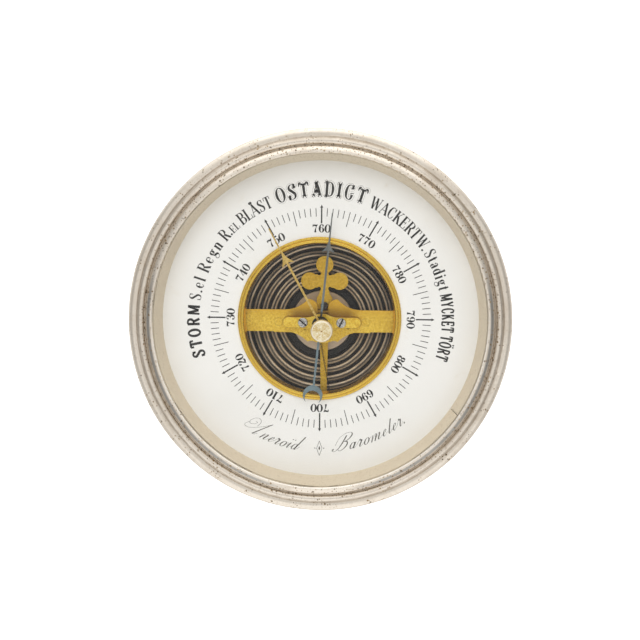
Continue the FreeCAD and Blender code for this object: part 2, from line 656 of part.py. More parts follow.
def set_knob():
    """Turned knob with a knurled rim, a chamfer and a centre dimple."""
    knob = turned([
        (0, -45.5), (3.3, -45.5), (3.3, -46.3), (2.3, -47.0), (2.3, -49.6), ((2.9, -50.9), (KNOB_R, -51.2)),
        (KNOB_R, -55.2), (KNOB_R - 0.5, KNOB_FRONT + 0.15), (KNOB_R - 0.7, KNOB_FRONT + 0.15),
        (KNOB_R - 0.8, KNOB_FRONT), (0.35, KNOB_FRONT), (0, KNOB_FRONT + 0.3),
    ])
    knob = knob.cut(rod(1.2 + FIT, 0, -50.1))
    groove_count = 48
    for i in range(groove_count):
        x, z = polar(KNOB_R + 0.12, 360.0 * i / groove_count)
        knob = knob.cut(rod(0.22, -51.0, -55.0, x, z))
    return knob


# ---- build ----
save("case_drum", case_drum())
save("hanger_plate", hanger_plate())
save("hanger_rivets", hanger_rivet(-7.5), hanger_rivet(7.5))
save("case_screws", *[case_screw(x, z) for x, z in spacer_places()])
save("bezel", bezel())
save("glass", glass())
save("reveal_ring", reveal_ring())
save("dial", dial())
save("dial_inner_ring", dial_inner_ring())
save("dial_feet", *[dial_foot(x, z) for x, z in dial_foot_places()])
save("dial_foot_screws", *[dial_foot_screw(x, z) for x, z in dial_foot_places()])
save("plate_spacers", *[plate_spacer(x, z) for x, z in spacer_places()])

bridge_foot_screws = [
    slotted_screw(2.2, PLATE_FRONT - 1.4, PLATE_FRONT - 2.9, 1.25, PLATE_BACK, x, z, 25)
    for x, z in bridge_screw_places()
]
bracket_screws = [
    slotted_screw(1.8, PLATE_FRONT - 1.4, PLATE_FRONT - 2.6, 1.0, PLATE_BACK, x, z, 60)
    for x, z in bracket_screw_places()
]
cock_screws = [
    slotted_screw(1.9, COCK_FRONT, COCK_FRONT - 1.0, 0.9, BRIDGE_BACK + 0.7, -COCK_SCREW_X, 0, 40),
    slotted_screw(1.9, COCK_FRONT, COCK_FRONT - 1.0, 0.9, BRIDGE_BACK + 0.7, COCK_SCREW_X, 0, -65),
]
lever_screw = slotted_screw(1.5, LEVER_FRONT - 0.9, LEVER_FRONT - 1.8, 0.8, LEVER_BACK, 0, LEVER_SCREW_Z, 75)

about_movement = {
    "movement_plate": [movement_plate()],
    "bridge": [bridge()],
    "bridge_foot_screws": bridge_foot_screws,
    "lever_carrier": [lever_carrier()],
    "strap_rivets": [strap_rivet(-RIVET_X), strap_rivet(RIVET_X)],
    "cock": [cock()],
    "cock_screws": cock_screws,
    "shaft_brackets": [shaft_bracket(-1), shaft_bracket(1)],
    "bracket_screws": bracket_screws,
    "capsule_stud": [capsule_stud()],
    "capsule_lower": [capsule_lower()],
    "capsule_spring": [capsule_spring()],
    "capsule_upper": [capsule_upper()],
    "capsule_post": [capsule_post()],
    "adjusting_screw": [adjusting_screw()],
    "rock_shaft": [cross_rod(SHAFT_R, -BRACKET_X - 2.6, BRACKET_X + 2.6, SHAFT_Y, SHAFT_Z)],
    "chain_arm": [chain_arm()],
}
about_lever = {
    "lever_pivot_pin": [cross_rod(FULCRUM_R, -6.2, 6.2, FULCRUM_Y, FULCRUM_Z)],
    "main_lever": [main_lever()],
    "lever_trefoil": [lever_trefoil()],
    "lever_screw": [lever_screw],
    "link_pin": [cross_rod(0.4, -2.2, 2.2, FULCRUM_Y, LINK_Z)],
    "link_rod": [link_rod()],
    "input_arm": [input_arm()],
}
about_arbor = {
    "chain": [chain()],
    "arbor": [arbor()],
    "chain_drum": [chain_drum()],
    "hairspring": [hairspring()],
    "hairspring_stud": [hairspring_stud()],
    "pressure_hand": [pressure_hand()],
    "hand_pipe": [hand_pipe()],
}
about_knob = {
    "set_hand": [set_hand()],
    "set_spindle": [set_spindle()],
    "spindle_nut": [spindle_nut()],
    "set_knob": [set_knob()],
}
for group, dx, dz in (
    (about_movement, MOVE_X, MOVE_Z),
    (about_lever, MOVE_X + LEVER_DX, MOVE_Z),
    (about_arbor, MOVE_X + ARBOR_DX, MOVE_Z + ARBOR_DZ),
    (about_knob, KNOB_X, KNOB_Z),
):
    for name, solids in group.items():
        save(name, *[moved(solid, dx, dz) for solid in solids])
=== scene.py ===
import math

import bmesh
import bpy
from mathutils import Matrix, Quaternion, Vector


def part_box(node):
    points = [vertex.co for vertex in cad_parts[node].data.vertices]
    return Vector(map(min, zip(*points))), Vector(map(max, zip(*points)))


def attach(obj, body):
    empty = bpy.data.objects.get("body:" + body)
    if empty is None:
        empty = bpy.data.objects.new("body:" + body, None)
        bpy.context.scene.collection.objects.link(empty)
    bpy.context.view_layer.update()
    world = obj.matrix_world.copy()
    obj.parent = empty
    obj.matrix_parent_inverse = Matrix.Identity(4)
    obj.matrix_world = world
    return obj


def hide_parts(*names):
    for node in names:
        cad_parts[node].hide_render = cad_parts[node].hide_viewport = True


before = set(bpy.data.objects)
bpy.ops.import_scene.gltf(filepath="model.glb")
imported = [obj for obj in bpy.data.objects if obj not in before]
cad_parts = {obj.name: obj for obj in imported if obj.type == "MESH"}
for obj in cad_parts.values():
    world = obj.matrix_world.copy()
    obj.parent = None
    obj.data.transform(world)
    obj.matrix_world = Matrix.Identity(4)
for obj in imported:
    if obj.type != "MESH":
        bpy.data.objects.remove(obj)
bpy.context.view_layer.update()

MM = 0.001

# ---- places, read from the frame ----
def axis_of(node):
    """A node's middle in x and z."""
    low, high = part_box(node)
    return Vector(((low.x + high.x) / 2, 0, (low.z + high.z) / 2))


DIAL_CENTRE = axis_of("dial")
DIAL_CENTRE.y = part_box("dial")[0].y
RING_AXIS = axis_of("dial_inner_ring")
CAPSULE_AXIS = axis_of("capsule_upper")
ARBOR_AXIS = axis_of("arbor")
KNOB_AXIS = axis_of("set_knob")
KNOB_R = (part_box("set_knob")[1].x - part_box("set_knob")[0].x) / 2 / MM
BEZEL_LOW, BEZEL_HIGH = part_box("bezel")
BEZEL_R = (BEZEL_HIGH.x - BEZEL_LOW.x) / 2 / MM

# ---- turned features that the materials follow, radii in millimetres ----
BEZEL_GROOVES = (67.9, 70.85)
LIP_R = 65.2
FIRST_VALLEY_R = 14.9
RIDGE_PITCH = 3.34
MIDDLE_DISC_R = 12.0
RIVET_R = 1.6
COCK_END_R = 2.05
CHAIN_WRAP_R = 1.55
LINK_HALF, LINK_WIRE_R = 0.22, 0.085

# ---- the dial's layout, in millimetres and degrees clockwise from the top ----
TICK_COUNT = 120
TICK_HALF = 0.135
TEN_HALF = 0.27
ARROW_HALF = 0.62
FIRST_MARK, LAST_MARK, TOP_MARK = 690, 800, 760
NUMERAL_HALF = 5.7
TICK_OUTER_R = 43.2
UNIT_INNER_R = 40.0
FIVE_INNER_R = 37.3
TEN_OUTER_R = 43.6
ARROW_TIP_R = 44.6
NUMERAL_BASE_R = 33.75
NUMERAL_HEIGHT = 3.2
WORD_BASE_R = 47.5
WORD_HEIGHT = 4.7
SCRIPT_BASE_R = 52.8
FANCY_HEIGHT = 5.9
SCRIPT_HEIGHT = 6.6
ORNAMENT_R = 51.2
RING_CORNERS, DISC_CORNERS = 28, 14
PRINT_HEIGHT = 0.03
INK_SINK = 0.01

# ---- camera and light, in degrees, metres and watts ----
CAMERA_AZIMUTH = 1.3
CAMERA_ELEVATION = 5.0
CAMERA_ROLL = 0.58
CAMERA_DISTANCE = 1.0
CAMERA_AIM = Vector((-0.235, 0, -0.59)) * MM
LENS, SENSOR_WIDTH = 143.6, 36.0
LAMP_OFFSET = Vector((-0.15, -1.3, 0.8))
LAMP_SIZE, LAMP_POWER = 0.9, 7.5
FLOOR_DROP = 0.12
FLOOR_R, BEND_R, WALL_TOP = 1.6, 1.2, 3.0


# ---------------------------------------------------------------------------
# Materials
# ---------------------------------------------------------------------------
def tinted(tone, *factors):
    """A colour with each channel multiplied by its own factor, or all of them by one."""
    return tuple(c * f for c, f in zip(tone, factors if len(factors) == 3 else factors * 3))


class Nodes:
    """A node tree with short names for the nodes that the materials and the world share."""

    def __init__(self, owner):
        owner.use_nodes = True
        self.tree = owner.node_tree

    def new(self, kind, **settings):
        node = self.tree.nodes.new(kind)
        for key, value in settings.items():
            setattr(node, key, value)
        return node

    def put(self, socket, value):
        if isinstance(value, bpy.types.NodeSocket):
            self.tree.links.new(value, socket)
        else:
            socket.default_value = value

    def fill(self, node, **values):
        """Sets or links sockets by name, with an underscore for each space in the name."""
        for key, value in values.items():
            self.put(node.inputs[key.replace("_", " ")], value)

    def math(self, operation, a, b=0.0, clamp=False):
        node = self.new("ShaderNodeMath", operation=operation, use_clamp=clamp)
        self.put(node.inputs[0], a)
        self.put(node.inputs[1], b)
        return node.outputs[0]

    def times(self, a, b, clamp=False):
        return self.math("MULTIPLY", a, b, clamp)

    def plus(self, a, b, clamp=False):
        return self.math("ADD", a, b, clamp)

    def minus(self, a, b):
        return self.math("SUBTRACT", a, b)

    def larger(self, a, b):
        return self.math("MAXIMUM", a, b)

    def absolute(self, a):
        return self.math("ABSOLUTE", a)

    def fade(self, value, low, high, out_low=0.0, out_high=1.0):
        """A smooth step of a value between two limits."""
        node = self.new("ShaderNodeMapRange", interpolation_type="SMOOTHSTEP")
        self.fill(node, Value=value, From_Min=low, From_Max=high, To_Min=out_low, To_Max=out_high)
        return node.outputs["Result"]


class Shader(Nodes):
    """A material with one Principled shader, whose coordinates are those of the row frame."""

    def __init__(self, name, **constants):
        self.material = bpy.data.materials.new(name)
        super().__init__(self.material)
        self.bsdf = self.tree.nodes["Principled BSDF"]
        self.fill(self.bsdf, **constants)
        self.row = self.new("ShaderNodeTexCoord").outputs["Object"]

    def split(self, centre=(0, 0, 0)):
        """x, y and z of the row frame in millimetres, counted from a centre given in metres."""
        shift = self.new("ShaderNodeVectorMath", operation="SUBTRACT")
        self.put(shift.inputs[0], self.row)
        self.put(shift.inputs[1], centre)
        scale = self.new("ShaderNodeVectorMath", operation="SCALE")
        self.put(scale.inputs[0], shift.outputs[0])
        self.put(scale.inputs["Scale"], 1 / MM)
        parts = self.new("ShaderNodeSeparateXYZ")
        self.put(parts.inputs[0], scale.outputs[0])
        return scale.outputs[0], parts.outputs[0], parts.outputs[1], parts.outputs[2]

    def polar(self, centre):
        """Radius in mm, angle in radians and depth y in mm about a centre."""
        _, x, y, z = self.split(centre)
        radius = self.math("POWER", self.plus(self.times(x, x), self.times(z, z)), 0.5)
        return radius, self.math("ARCTAN2", z, x), y

    def combine(self, x, y, z):
        node = self.new("ShaderNodeCombineXYZ")
        for socket, value in zip(node.inputs, (x, y, z)):
            self.put(socket, value)
        return node.outputs[0]

    def noise(self, vector, scale, detail=2.0, roughness=0.5, distortion=0.0):
        node = self.new("ShaderNodeTexNoise")
        self.fill(node, Vector=vector, Scale=scale, Detail=detail, Roughness=roughness, Distortion=distortion)
        return node.outputs["Fac"]

    def cells(self, vector, scale):
        """Distance to the nearest cell centre, and a random value of the cell."""
        node = self.new("ShaderNodeTexVoronoi")
        self.fill(node, Vector=vector, Scale=scale)
        parts = self.new("ShaderNodeSeparateColor")
        self.put(parts.inputs[0], node.outputs["Color"])
        return node.outputs["Distance"], parts.outputs[0]

    def near(self, value, middle, half):
        """1 where a value is at its middle, falling to 0 at half away from it."""
        away = self.absolute(self.minus(value, middle))
        return self.fade(away, half * 0.3, half, 1.0, 0.0)

    def mix(self, factor, a, b):
        node = self.new("ShaderNodeMix", data_type="RGBA")
        self.put(node.inputs[0], factor)
        for socket, value in ((node.inputs[6], a), (node.inputs[7], b)):
            self.put(socket, (*value, 1.0) if isinstance(value, tuple) else value)
        return node.outputs[2]

    def bump(self, height, strength, distance, normal=None):
        node = self.new("ShaderNodeBump")
        self.fill(node, Strength=strength, Distance=distance * MM, Height=height)
        if normal is not None:
            self.put(node.inputs["Normal"], normal)
        return node.outputs[0]

    def set(self, **values):
        self.fill(self.bsdf, **values)
        return self.material


def pits(s, vector, scale, size, share):
    """Small round pits: a mask of 1 inside them. share is how many of the cells hold one."""
    distance, chance = s.cells(vector, scale)
    inside = s.fade(distance, size * 0.5, size, 1.0, 0.0)
    return s.times(inside, s.fade(chance, 1 - share, 1 - share + 0.02))


def nickel(name, wear):
    """Worn nickel plate: turned lines, tarnish, brown pits, dirt with painted shade in the bezel's two
    grooves, painted dark reflections at the sides and low on the inner band, a painted highlight on the lower
    lip and a painted shadow on the lower outer rim.
    """
    s = Shader(name, Metallic=1.0)
    vector, _, _, _ = s.split()
    radius, angle, depth = s.polar(DIAL_CENTRE)
    _, x, _, z = s.split(DIAL_CENTRE)
    # The left and right sides, where the grooves carry a broad painted dark reflection.
    sides = s.fade(s.absolute(x), 30.0, 66.0)
    lathe = s.noise(s.combine(s.times(radius, 2.4), s.times(angle, 0.5),
                              s.times(depth, 2.4)), 1.6, 4.0, 0.6)
    cloud = s.noise(vector, 0.09, 4.0, 0.6, 0.6)
    fine = s.noise(vector, 0.9, 3.0, 0.65)
    tarnish = s.times(s.fade(cloud, 0.42, 0.72), 0.45 * wear)
    inner, outer = BEZEL_GROOVES
    # Dark grooves: dirt with painted shade in the hollows. The inner groove is painted faint and fades out
    # towards the top, and a broad painted dark reflection widens both grooves at the sides.
    groove_dirt_and_shade = s.larger(s.times(s.near(radius, inner, 0.9), s.fade(z, 40.0, 0.0, 0.05, 0.4)),
                    s.near(radius, outer, 0.7))
    painted_side_reflection = s.times(s.larger(s.near(radius, inner + 0.2, 1.5), s.near(radius, outer, 1.2)), sides)
    groove_dirt_and_shade = s.larger(groove_dirt_and_shade, s.times(painted_side_reflection, 0.40))
    groove_dirt_and_shade = s.times(groove_dirt_and_shade, s.fade(s.noise(vector, 0.35, 3.0, 0.6), 0.2, 0.62, 0.45, 1.0))
    band = s.times(s.near(radius, LIP_R + 2.4, 3.4), s.fade(depth, -5.0, -8.0))
    crowd = s.larger(s.fade(s.noise(vector, 0.16, 2.0), 0.50, 0.62), s.times(band, 0.9 * wear))
    coarse = s.larger(pits(s, vector, 0.62, 0.31, 0.52), pits(s, vector, 1.25, 0.38, 0.38))
    spots = s.larger(coarse, s.times(pits(s, vector, 2.6, 0.33, 0.22), 0.7))
    spots = s.times(spots, s.times(crowd, wear * wear, clamp=True))
    colour = s.mix(tarnish, (0.80, 0.728, 0.63), (0.60, 0.51, 0.40))
    colour = s.mix(s.fade(lathe, 0.3, 0.75, 0.0, 0.30), colour, (0.67, 0.59, 0.49))
    stained = s.noise(vector, 1.1, 4.0, 0.75)
    colour = s.mix(s.fade(stained, 0.52, 0.66, 0.0, 0.40 * wear), colour, (0.56, 0.47, 0.36))
    # A painted dark reflection: a grey stripe on the inner band near the lip, low down at both sides.
    low_side = s.times(s.fade(z, 22.0, 6.0), s.fade(s.absolute(x), 8.0, 26.0))
    painted_reflection_stripe = s.times(s.near(radius, LIP_R + 1.45, 0.9), low_side)
    colour = s.mix(s.times(painted_reflection_stripe, 0.8 * wear), colour, (0.27, 0.265, 0.25))
    # A painted highlight: a pale line on the lip over the lower half.
    painted_lip_highlight = s.times(s.near(radius, LIP_R + 0.05, 0.32), s.fade(z, 14.0, -14.0, 0.0, 0.8 * wear))
    colour = s.mix(painted_lip_highlight, colour, (0.95, 0.90, 0.82))
    # Dirt and painted shade in the grooves, with the painted side reflections.
    colour = s.mix(s.times(groove_dirt_and_shade, 0.75 * wear, clamp=True), colour, (0.40, 0.34, 0.27))
    # A painted shadow: a brown edge on the outer rim, strongest at the bottom.
    rim = s.times(s.fade(radius, BEZEL_R - 0.8, BEZEL_R - 0.1), s.fade(z, -10.0, -66.0))
    colour = s.mix(s.times(rim, 0.6 * wear), colour, (0.34, 0.25, 0.16))
    pit_brown = s.mix(s.fade(fine, 0.45, 0.55), (0.13, 0.085, 0.045), (0.40, 0.265, 0.12))
    colour = s.mix(spots, colour, pit_brown)
    rough = s.plus(s.fade(fine, 0.25, 0.8, 0.26, 0.38), s.times(spots, 0.35))
    rough = s.plus(rough, s.times(tarnish, 0.25), clamp=True)
    relief = s.bump(s.minus(lathe, s.times(spots, 2.4)), 0.22, 0.05)
    relief = s.bump(s.noise(vector, 0.35, 2.0), 0.10, 0.12, relief)
    # The lip's painted highlight is also less metallic.
    metal = s.fade(painted_lip_highlight, 0.0, 1.0, 1.0, 0.35)
    return s.set(Base_Color=colour, Roughness=rough, Normal=relief, Metallic=metal)


def gilding(name, tone, rough_low=0.30, rough_high=0.46, specks=0.10, marks=None):
    """Frosted fire gilding: a fine even grain, soft clouds, a few dark specks, and marks of its own."""
    s = Shader(name, Metallic=0.7)
    vector, _, _, _ = s.split()
    cloud = s.noise(vector, 0.13, 3.0, 0.55)
    grain = s.noise(vector, 1.1, 5.0, 0.88)
    spots = s.larger(pits(s, vector, 1.1, 0.16, specks), pits(s, vector, 2.8, 0.24, specks))
    deep = tinted(tone, 0.88, 0.82, 0.70)
    colour = s.mix(s.fade(cloud, 0.3, 0.72), tone, deep)
    bright = tuple(min(1.0, c) for c in tinted(tone, 1.18, 1.24, 1.9))
    brown = tinted(tone, 0.62, 0.50, 0.34)
    colour = s.mix(s.fade(grain, 0.50, 0.58, 0.0, 0.6), colour, bright)
    colour = s.mix(s.fade(grain, 0.50, 0.42, 0.0, 0.6), colour, brown)
    if marks:
        colour = marks(s, colour)
    colour = s.mix(s.times(spots, 0.75), colour, (0.20, 0.12, 0.045))
    rough = s.plus(s.fade(grain, 0.2, 0.8, rough_low, rough_high), s.times(spots, 0.2))
    return s.set(Base_Color=colour, Roughness=rough, Normal=s.bump(grain, 0.40, 0.03))


def dirt_by_cock(s, colour):
    """Brown dirt with painted shade that gathers just above the cock, and two dark marks of painted shade in
    the gaps at its lower edge.
    """
    low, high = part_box("cock")
    middle = Vector(((low.x + high.x) / 2, 0, high.z))
    _, x, _, z = s.split(middle)
    # Dirt with painted shade just above the cock's top edge.
    dirt_and_shade_above = s.times(s.fade(z, 4.2, -1.0), s.fade(s.absolute(x), 15.5, 9.5))
    dirt_and_shade_above = s.times(dirt_and_shade_above, s.fade(z, -2.6, -1.4))
    colour = s.mix(s.times(dirt_and_shade_above, 0.85), colour, (0.26, 0.125, 0.015))
    # Two dark marks of painted shade in the gaps under the cock's lower edge.
    for offset, drop in ((-7.2, 0.25), (9.8, 0.9)):
        place = Vector((KNOB_AXIS.x + offset * MM, 0, low.z + (0.1 + drop) * MM))
        _, x, _, z = s.split(place)
        away = s.plus(s.absolute(x), s.times(s.absolute(z), 3.0))
        colour = s.mix(s.fade(away, 1.0, 0.4, 0.0, 0.8), colour, (0.10, 0.06, 0.02))
    return colour


def bridge_marks(s, colour):
    """The outlines of the strap's two flush rivets, painted shade on its ears, stains at its left end, a
    painted shadow line round the cock's ends, and the dirt and painted shade by the cock.
    """
    low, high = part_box("strap_rivets")
    for x in (low.x + RIVET_R * MM, high.x - RIVET_R * MM):
        radius, _, _ = s.polar(Vector((x, 0, (low.z + high.z) / 2)))
        colour = s.mix(s.times(s.near(radius, RIVET_R, 0.25), 0.28), colour, (0.34, 0.20, 0.04))
    vector, x, _, z = s.split(Vector((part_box("dial_inner_ring")[0].x, 0, (low.z + high.z) / 2)))
    # Painted shade: the bridge's ears above the strap are a deeper, darker gold.
    colour = s.mix(s.times(s.fade(z, 1.5, 6.0), 0.8), colour, tinted(GILT, 0.86, 0.72, 0.5))
    end = s.times(s.fade(x, 7.0, 3.0), s.fade(s.noise(vector, 1.4, 4.0, 0.7), 0.50, 0.66))
    colour = s.mix(s.times(end, 0.6), colour, (0.24, 0.13, 0.035))
    # A painted shadow: a dark line on the bridge round the cock's two rounded ends.
    screws_low, screws_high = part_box("cock_screws")
    cock_low, cock_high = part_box("cock")
    _, x, _, z = s.split(Vector(((cock_low.x + cock_high.x) / 2, 0, (screws_low.z + screws_high.z) / 2)))
    half = (cock_high.x - cock_low.x) / 2 / MM - COCK_END_R
    past = s.larger(s.minus(s.absolute(x), half), 0.0)
    away = s.math("POWER", s.plus(s.times(past, past), s.times(z, z)), 0.5)
    line = s.times(s.near(away, COCK_END_R + 0.1, 0.42), s.fade(s.noise(vector, 0.5), 0.3, 0.6, 0.5, 1.0))
    colour = s.mix(s.times(line, 0.6), colour, (0.30, 0.17, 0.035))
    return dirt_by_cock(s, colour)


def turned_brass(name, tone, centre, rough_low, rough_high):
    """Lacquered brass with fine turned rings about an axis, and a few stains in the lacquer."""
    s = Shader(name, Metallic=1.0)
    vector, _, _, _ = s.split()
    radius, angle, depth = s.polar(centre)
    rings = s.noise(s.combine(s.times(radius, 7.0), s.times(angle, 0.5),
                              s.times(depth, 7.0)), 1.0, 3.0, 0.6)
    stain = s.fade(s.noise(vector, 0.7, 4.0, 0.65), 0.52, 0.75)
    colour = s.mix(s.fade(rings, 0.3, 0.7, 0.0, 0.5), tone, tinted(tone, 0.82))
    colour = s.mix(s.times(stain, 0.45), colour, tinted(tone, 0.62, 0.52, 0.4))
    rough = s.plus(s.fade(rings, 0.2, 0.8, rough_low, rough_high), s.times(stain, 0.12))
    return s.set(Base_Color=colour, Roughness=rough, Normal=s.bump(rings, 0.25, 0.03))


def knob_brass():
    """Pale polished brass: turned rings, a painted radial sheen, a painted highlight near the rim, a brown
    centre mark and a darker edge, darkest at the bottom.
    """
    s = Shader("knob_brass", Metallic=0.55)
    vector, _, _, _ = s.split()
    radius, angle, depth = s.polar(KNOB_AXIS)
    rings = s.noise(s.combine(s.times(radius, 5.0), s.times(angle, 0.3),
                              s.times(depth, 5.0)), 1.0, 3.0, 0.6)
    _, x, _, z = s.split(KNOB_AXIS)
    spoke = s.combine(s.math("DIVIDE", x, radius), s.math("DIVIDE", z, radius), 0.0)
    # Painted radial sheen: lighter and darker streaks running out from the centre.
    painted_radial_sheen = s.fade(s.noise(spoke, 1.1, 2.0), 0.40, 0.62)
    fleck = s.noise(vector, 2.2, 3.0, 0.7)
    colour = s.mix(painted_radial_sheen, (0.86, 0.76, 0.50), (0.66, 0.50, 0.22))
    colour = s.mix(s.fade(rings, 0.48, 0.72, 0.0, 0.6), colour, (0.74, 0.58, 0.30))
    colour = s.mix(s.fade(fleck, 0.53, 0.62, 0.0, 0.7), colour, (0.50, 0.34, 0.13))
    colour = s.mix(s.fade(fleck, 0.46, 0.38, 0.0, 0.6), colour, (1.0, 0.96, 0.84))
    # A painted highlight: a bright ring just inside the rim.
    rim = s.near(radius, KNOB_R - 0.55, 0.30)
    colour = s.mix(s.times(rim, 0.7), colour, (1.0, 0.97, 0.88))
    # Darker at the edge, most towards the bottom, and a brown mark at the centre.
    dark_edge_and_centre = s.times(s.fade(radius, KNOB_R - 0.35, KNOB_R), s.fade(z, 1.5, -3.0, 0.25, 1.0))
    dark_edge_and_centre = s.larger(dark_edge_and_centre, s.fade(radius, 0.42, 0.22))
    colour = s.mix(s.times(dark_edge_and_centre, 0.75), colour, (0.36, 0.22, 0.08))
    relief = s.bump(s.minus(rings, s.fade(radius, 0.42, 0.22)), 0.35, 0.04)
    return s.set(Base_Color=colour, Roughness=s.fade(rings, 0.2, 0.8, 0.14, 0.28), Normal=relief)


def capsule_bronze():
    """Bronzed capsule: painted highlights on the two flanks of each ridge, near black valleys of dirt and
    painted shade, ridges and middle disc painted lighter towards the bottom with a painted highlight on the
    disc's lower edge, and dust lying about.
    """
    s = Shader("capsule_bronze", Metallic=0.55, Specular_IOR_Level=0.15)
    vector, _, _, _ = s.split()
    radius, angle, _ = s.polar(CAPSULE_AXIS)
    _, _, _, z = s.split(CAPSULE_AXIS)
    # Painted shade: the ridges are painted darker at the top and lighter towards the bottom.
    lower = s.fade(z, 6.0, -14.0)
    turn = s.plus(s.minus(radius, FIRST_VALLEY_R), s.fade(
        s.noise(s.combine(s.times(angle, 1.4), 0.0, 0.0), 1.0, 2.0), 0.2, 0.8, -0.12, 0.12))
    phase = s.minus(s.math("FLOORED_MODULO", turn, RIDGE_PITCH), RIDGE_PITCH / 2)
    away = s.absolute(phase)
    # Near black valleys, and the dark ring inside the first ridge: dirt with painted shade.
    body = s.fade(away, 1.28, 0.95)
    # Painted highlights: two bright lines along the flanks of each ridge.
    painted_flank_highlight = s.near(away, 0.70, 0.46)
    sweep = s.noise(s.combine(s.times(radius, 2.0), s.times(angle, 5.0), 0.0), 1.2, 4.0, 0.6)
    cloud = s.noise(vector, 0.12, 3.0, 0.6)
    mid = s.mix(lower, (0.050, 0.041, 0.032), (0.130, 0.105, 0.078))
    bright = s.mix(s.fade(cloud, 0.35, 0.7), (0.98, 0.80, 0.58), (0.80, 0.63, 0.45))
    bright = s.mix(s.fade(sweep, 0.45, 0.75, 0.0, 0.5), bright, (1.0, 0.93, 0.78))
    colour = s.mix(body, (0.022, 0.019, 0.016), mid)
    outside = s.fade(radius, FIRST_VALLEY_R - 0.2, FIRST_VALLEY_R + 0.2)
    colour = s.mix(s.times(painted_flank_highlight, s.fade(sweep, 0.2, 0.6, 0.65, 1.0)), colour, bright)
    colour = s.mix(outside, (0.036, 0.033, 0.029), colour)
    # Painted shade: the middle disc is darker at the top and lighter at the bottom.
    disc = s.mix(s.fade(z, 9.0, -9.0), (0.58, 0.43, 0.27), (0.70, 0.55, 0.40))
    disc = s.mix(s.times(s.fade(s.noise(vector, 1.8, 3.0, 0.6), 0.4, 0.7), 0.35), disc, (0.56, 0.46, 0.36))
    colour = s.mix(s.fade(radius, MIDDLE_DISC_R + 0.1, MIDDLE_DISC_R - 0.1), colour, disc)
    # A painted highlight: a bright line round the middle disc's edge, strongest at the bottom.
    rim = s.times(s.near(radius, MIDDLE_DISC_R - 0.1, 0.35), s.fade(z, 4.0, -8.0, 0.2, 0.9))
    colour = s.mix(rim, colour, (0.62, 0.52, 0.40))
    dust = pits(s, vector, 1.6, 0.18, 0.06)
    colour = s.mix(s.times(dust, 0.5), colour, (0.55, 0.50, 0.42))
    rough = s.plus(s.fade(sweep, 0.2, 0.8, 0.34, 0.50), s.times(dust, 0.3))
    grain = s.noise(vector, 2.6, 3.0, 0.6)
    return s.set(Base_Color=colour, Roughness=rough, Normal=s.bump(grain, 0.25, 0.04))


def dial_paint():
    """Off-white dial: faint clouds, a warmer rim, small fly specks and a few pale brown stains."""
    s = Shader("dial_paint", Roughness=0.5)
    vector, _, _, _ = s.split()
    radius, _, _ = s.polar(DIAL_CENTRE)
    cloud = s.noise(vector, 0.035, 4.0, 0.6, 0.4)
    mottle = s.noise(vector, 0.5, 4.0, 0.7)
    colour = s.mix(s.fade(cloud, 0.35, 0.72), (0.912, 0.903, 0.882), (0.882, 0.871, 0.846))
    colour = s.mix(s.fade(mottle, 0.5, 0.8, 0.0, 0.20), colour, (0.79, 0.755, 0.69))
    colour = s.mix(s.fade(radius, 53.0, 63.0, 0.0, 0.30), colour, (0.80, 0.765, 0.69))
    stain = s.times(s.fade(s.noise(vector, 0.085, 3.0, 0.55, 1.2), 0.64, 0.77),
                   s.fade(mottle, 0.35, 0.65))
    colour = s.mix(s.times(stain, 0.25), colour, (0.68, 0.58, 0.43))
    specks = s.larger(pits(s, vector, 0.30, 0.045, 0.28), pits(s, vector, 0.7, 0.07, 0.06))
    colour = s.mix(s.times(specks, 0.5), colour, (0.42, 0.34, 0.24))
    grain = s.noise(vector, 3.0, 4.0, 0.7)
    return s.set(Base_Color=colour, Roughness=s.fade(grain, 0.2, 0.8, 0.42, 0.58),
                 Normal=s.bump(grain, 0.08, 0.02))


def ink(name, tone):
    """Printed ink, slightly thin in places."""
    s = Shader(name)
    vector, _, _, _ = s.split()
    thin = s.fade(s.noise(vector, 1.8, 4.0, 0.7), 0.55, 0.80, 0.0, 0.5)
    colour = s.mix(thin, tone, tuple(0.5 * c + 0.22 for c in tone))
    return s.set(Base_Color=colour, Roughness=s.fade(s.noise(vector, 5.0), 0.3, 0.7, 0.5, 0.7))


def reveal_lacquer():
    """Beige matt lacquer on the ring between the dial and the glass, with scuffs and brown edges."""
    s = Shader("reveal_lacquer", Metallic=0.0)
    vector, _, _, _ = s.split()
    _, angle, depth = s.polar(DIAL_CENTRE)
    low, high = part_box("reveal_ring")
    streak = s.noise(s.combine(s.times(angle, 6.0), s.times(depth, 0.25), 0.0), 2.2, 4.0, 0.6)
    colour = s.mix(s.fade(streak, 0.3, 0.75), (0.91, 0.81, 0.635), (0.855, 0.745, 0.57))
    back_edge = s.fade(depth, high.y / MM - 0.9, high.y / MM)
    front_edge = s.fade(depth, low.y / MM + 0.9, low.y / MM)
    edge = s.larger(back_edge, front_edge)
    colour = s.mix(s.times(edge, 0.5), colour, (0.48, 0.38, 0.25))
    marks = s.times(pits(s, vector, 0.8, 0.24, 0.18), s.fade(s.noise(vector, 0.12), 0.45, 0.6))
    colour = s.mix(s.times(marks, 0.7), colour, (0.34, 0.24, 0.13))
    rough = s.fade(s.noise(vector, 1.2, 3.0), 0.3, 0.7, 0.26, 0.40)
    return s.set(Base_Color=colour, Roughness=rough, Normal=s.bump(s.noise(vector, 3.5, 3.0), 0.12, 0.03))


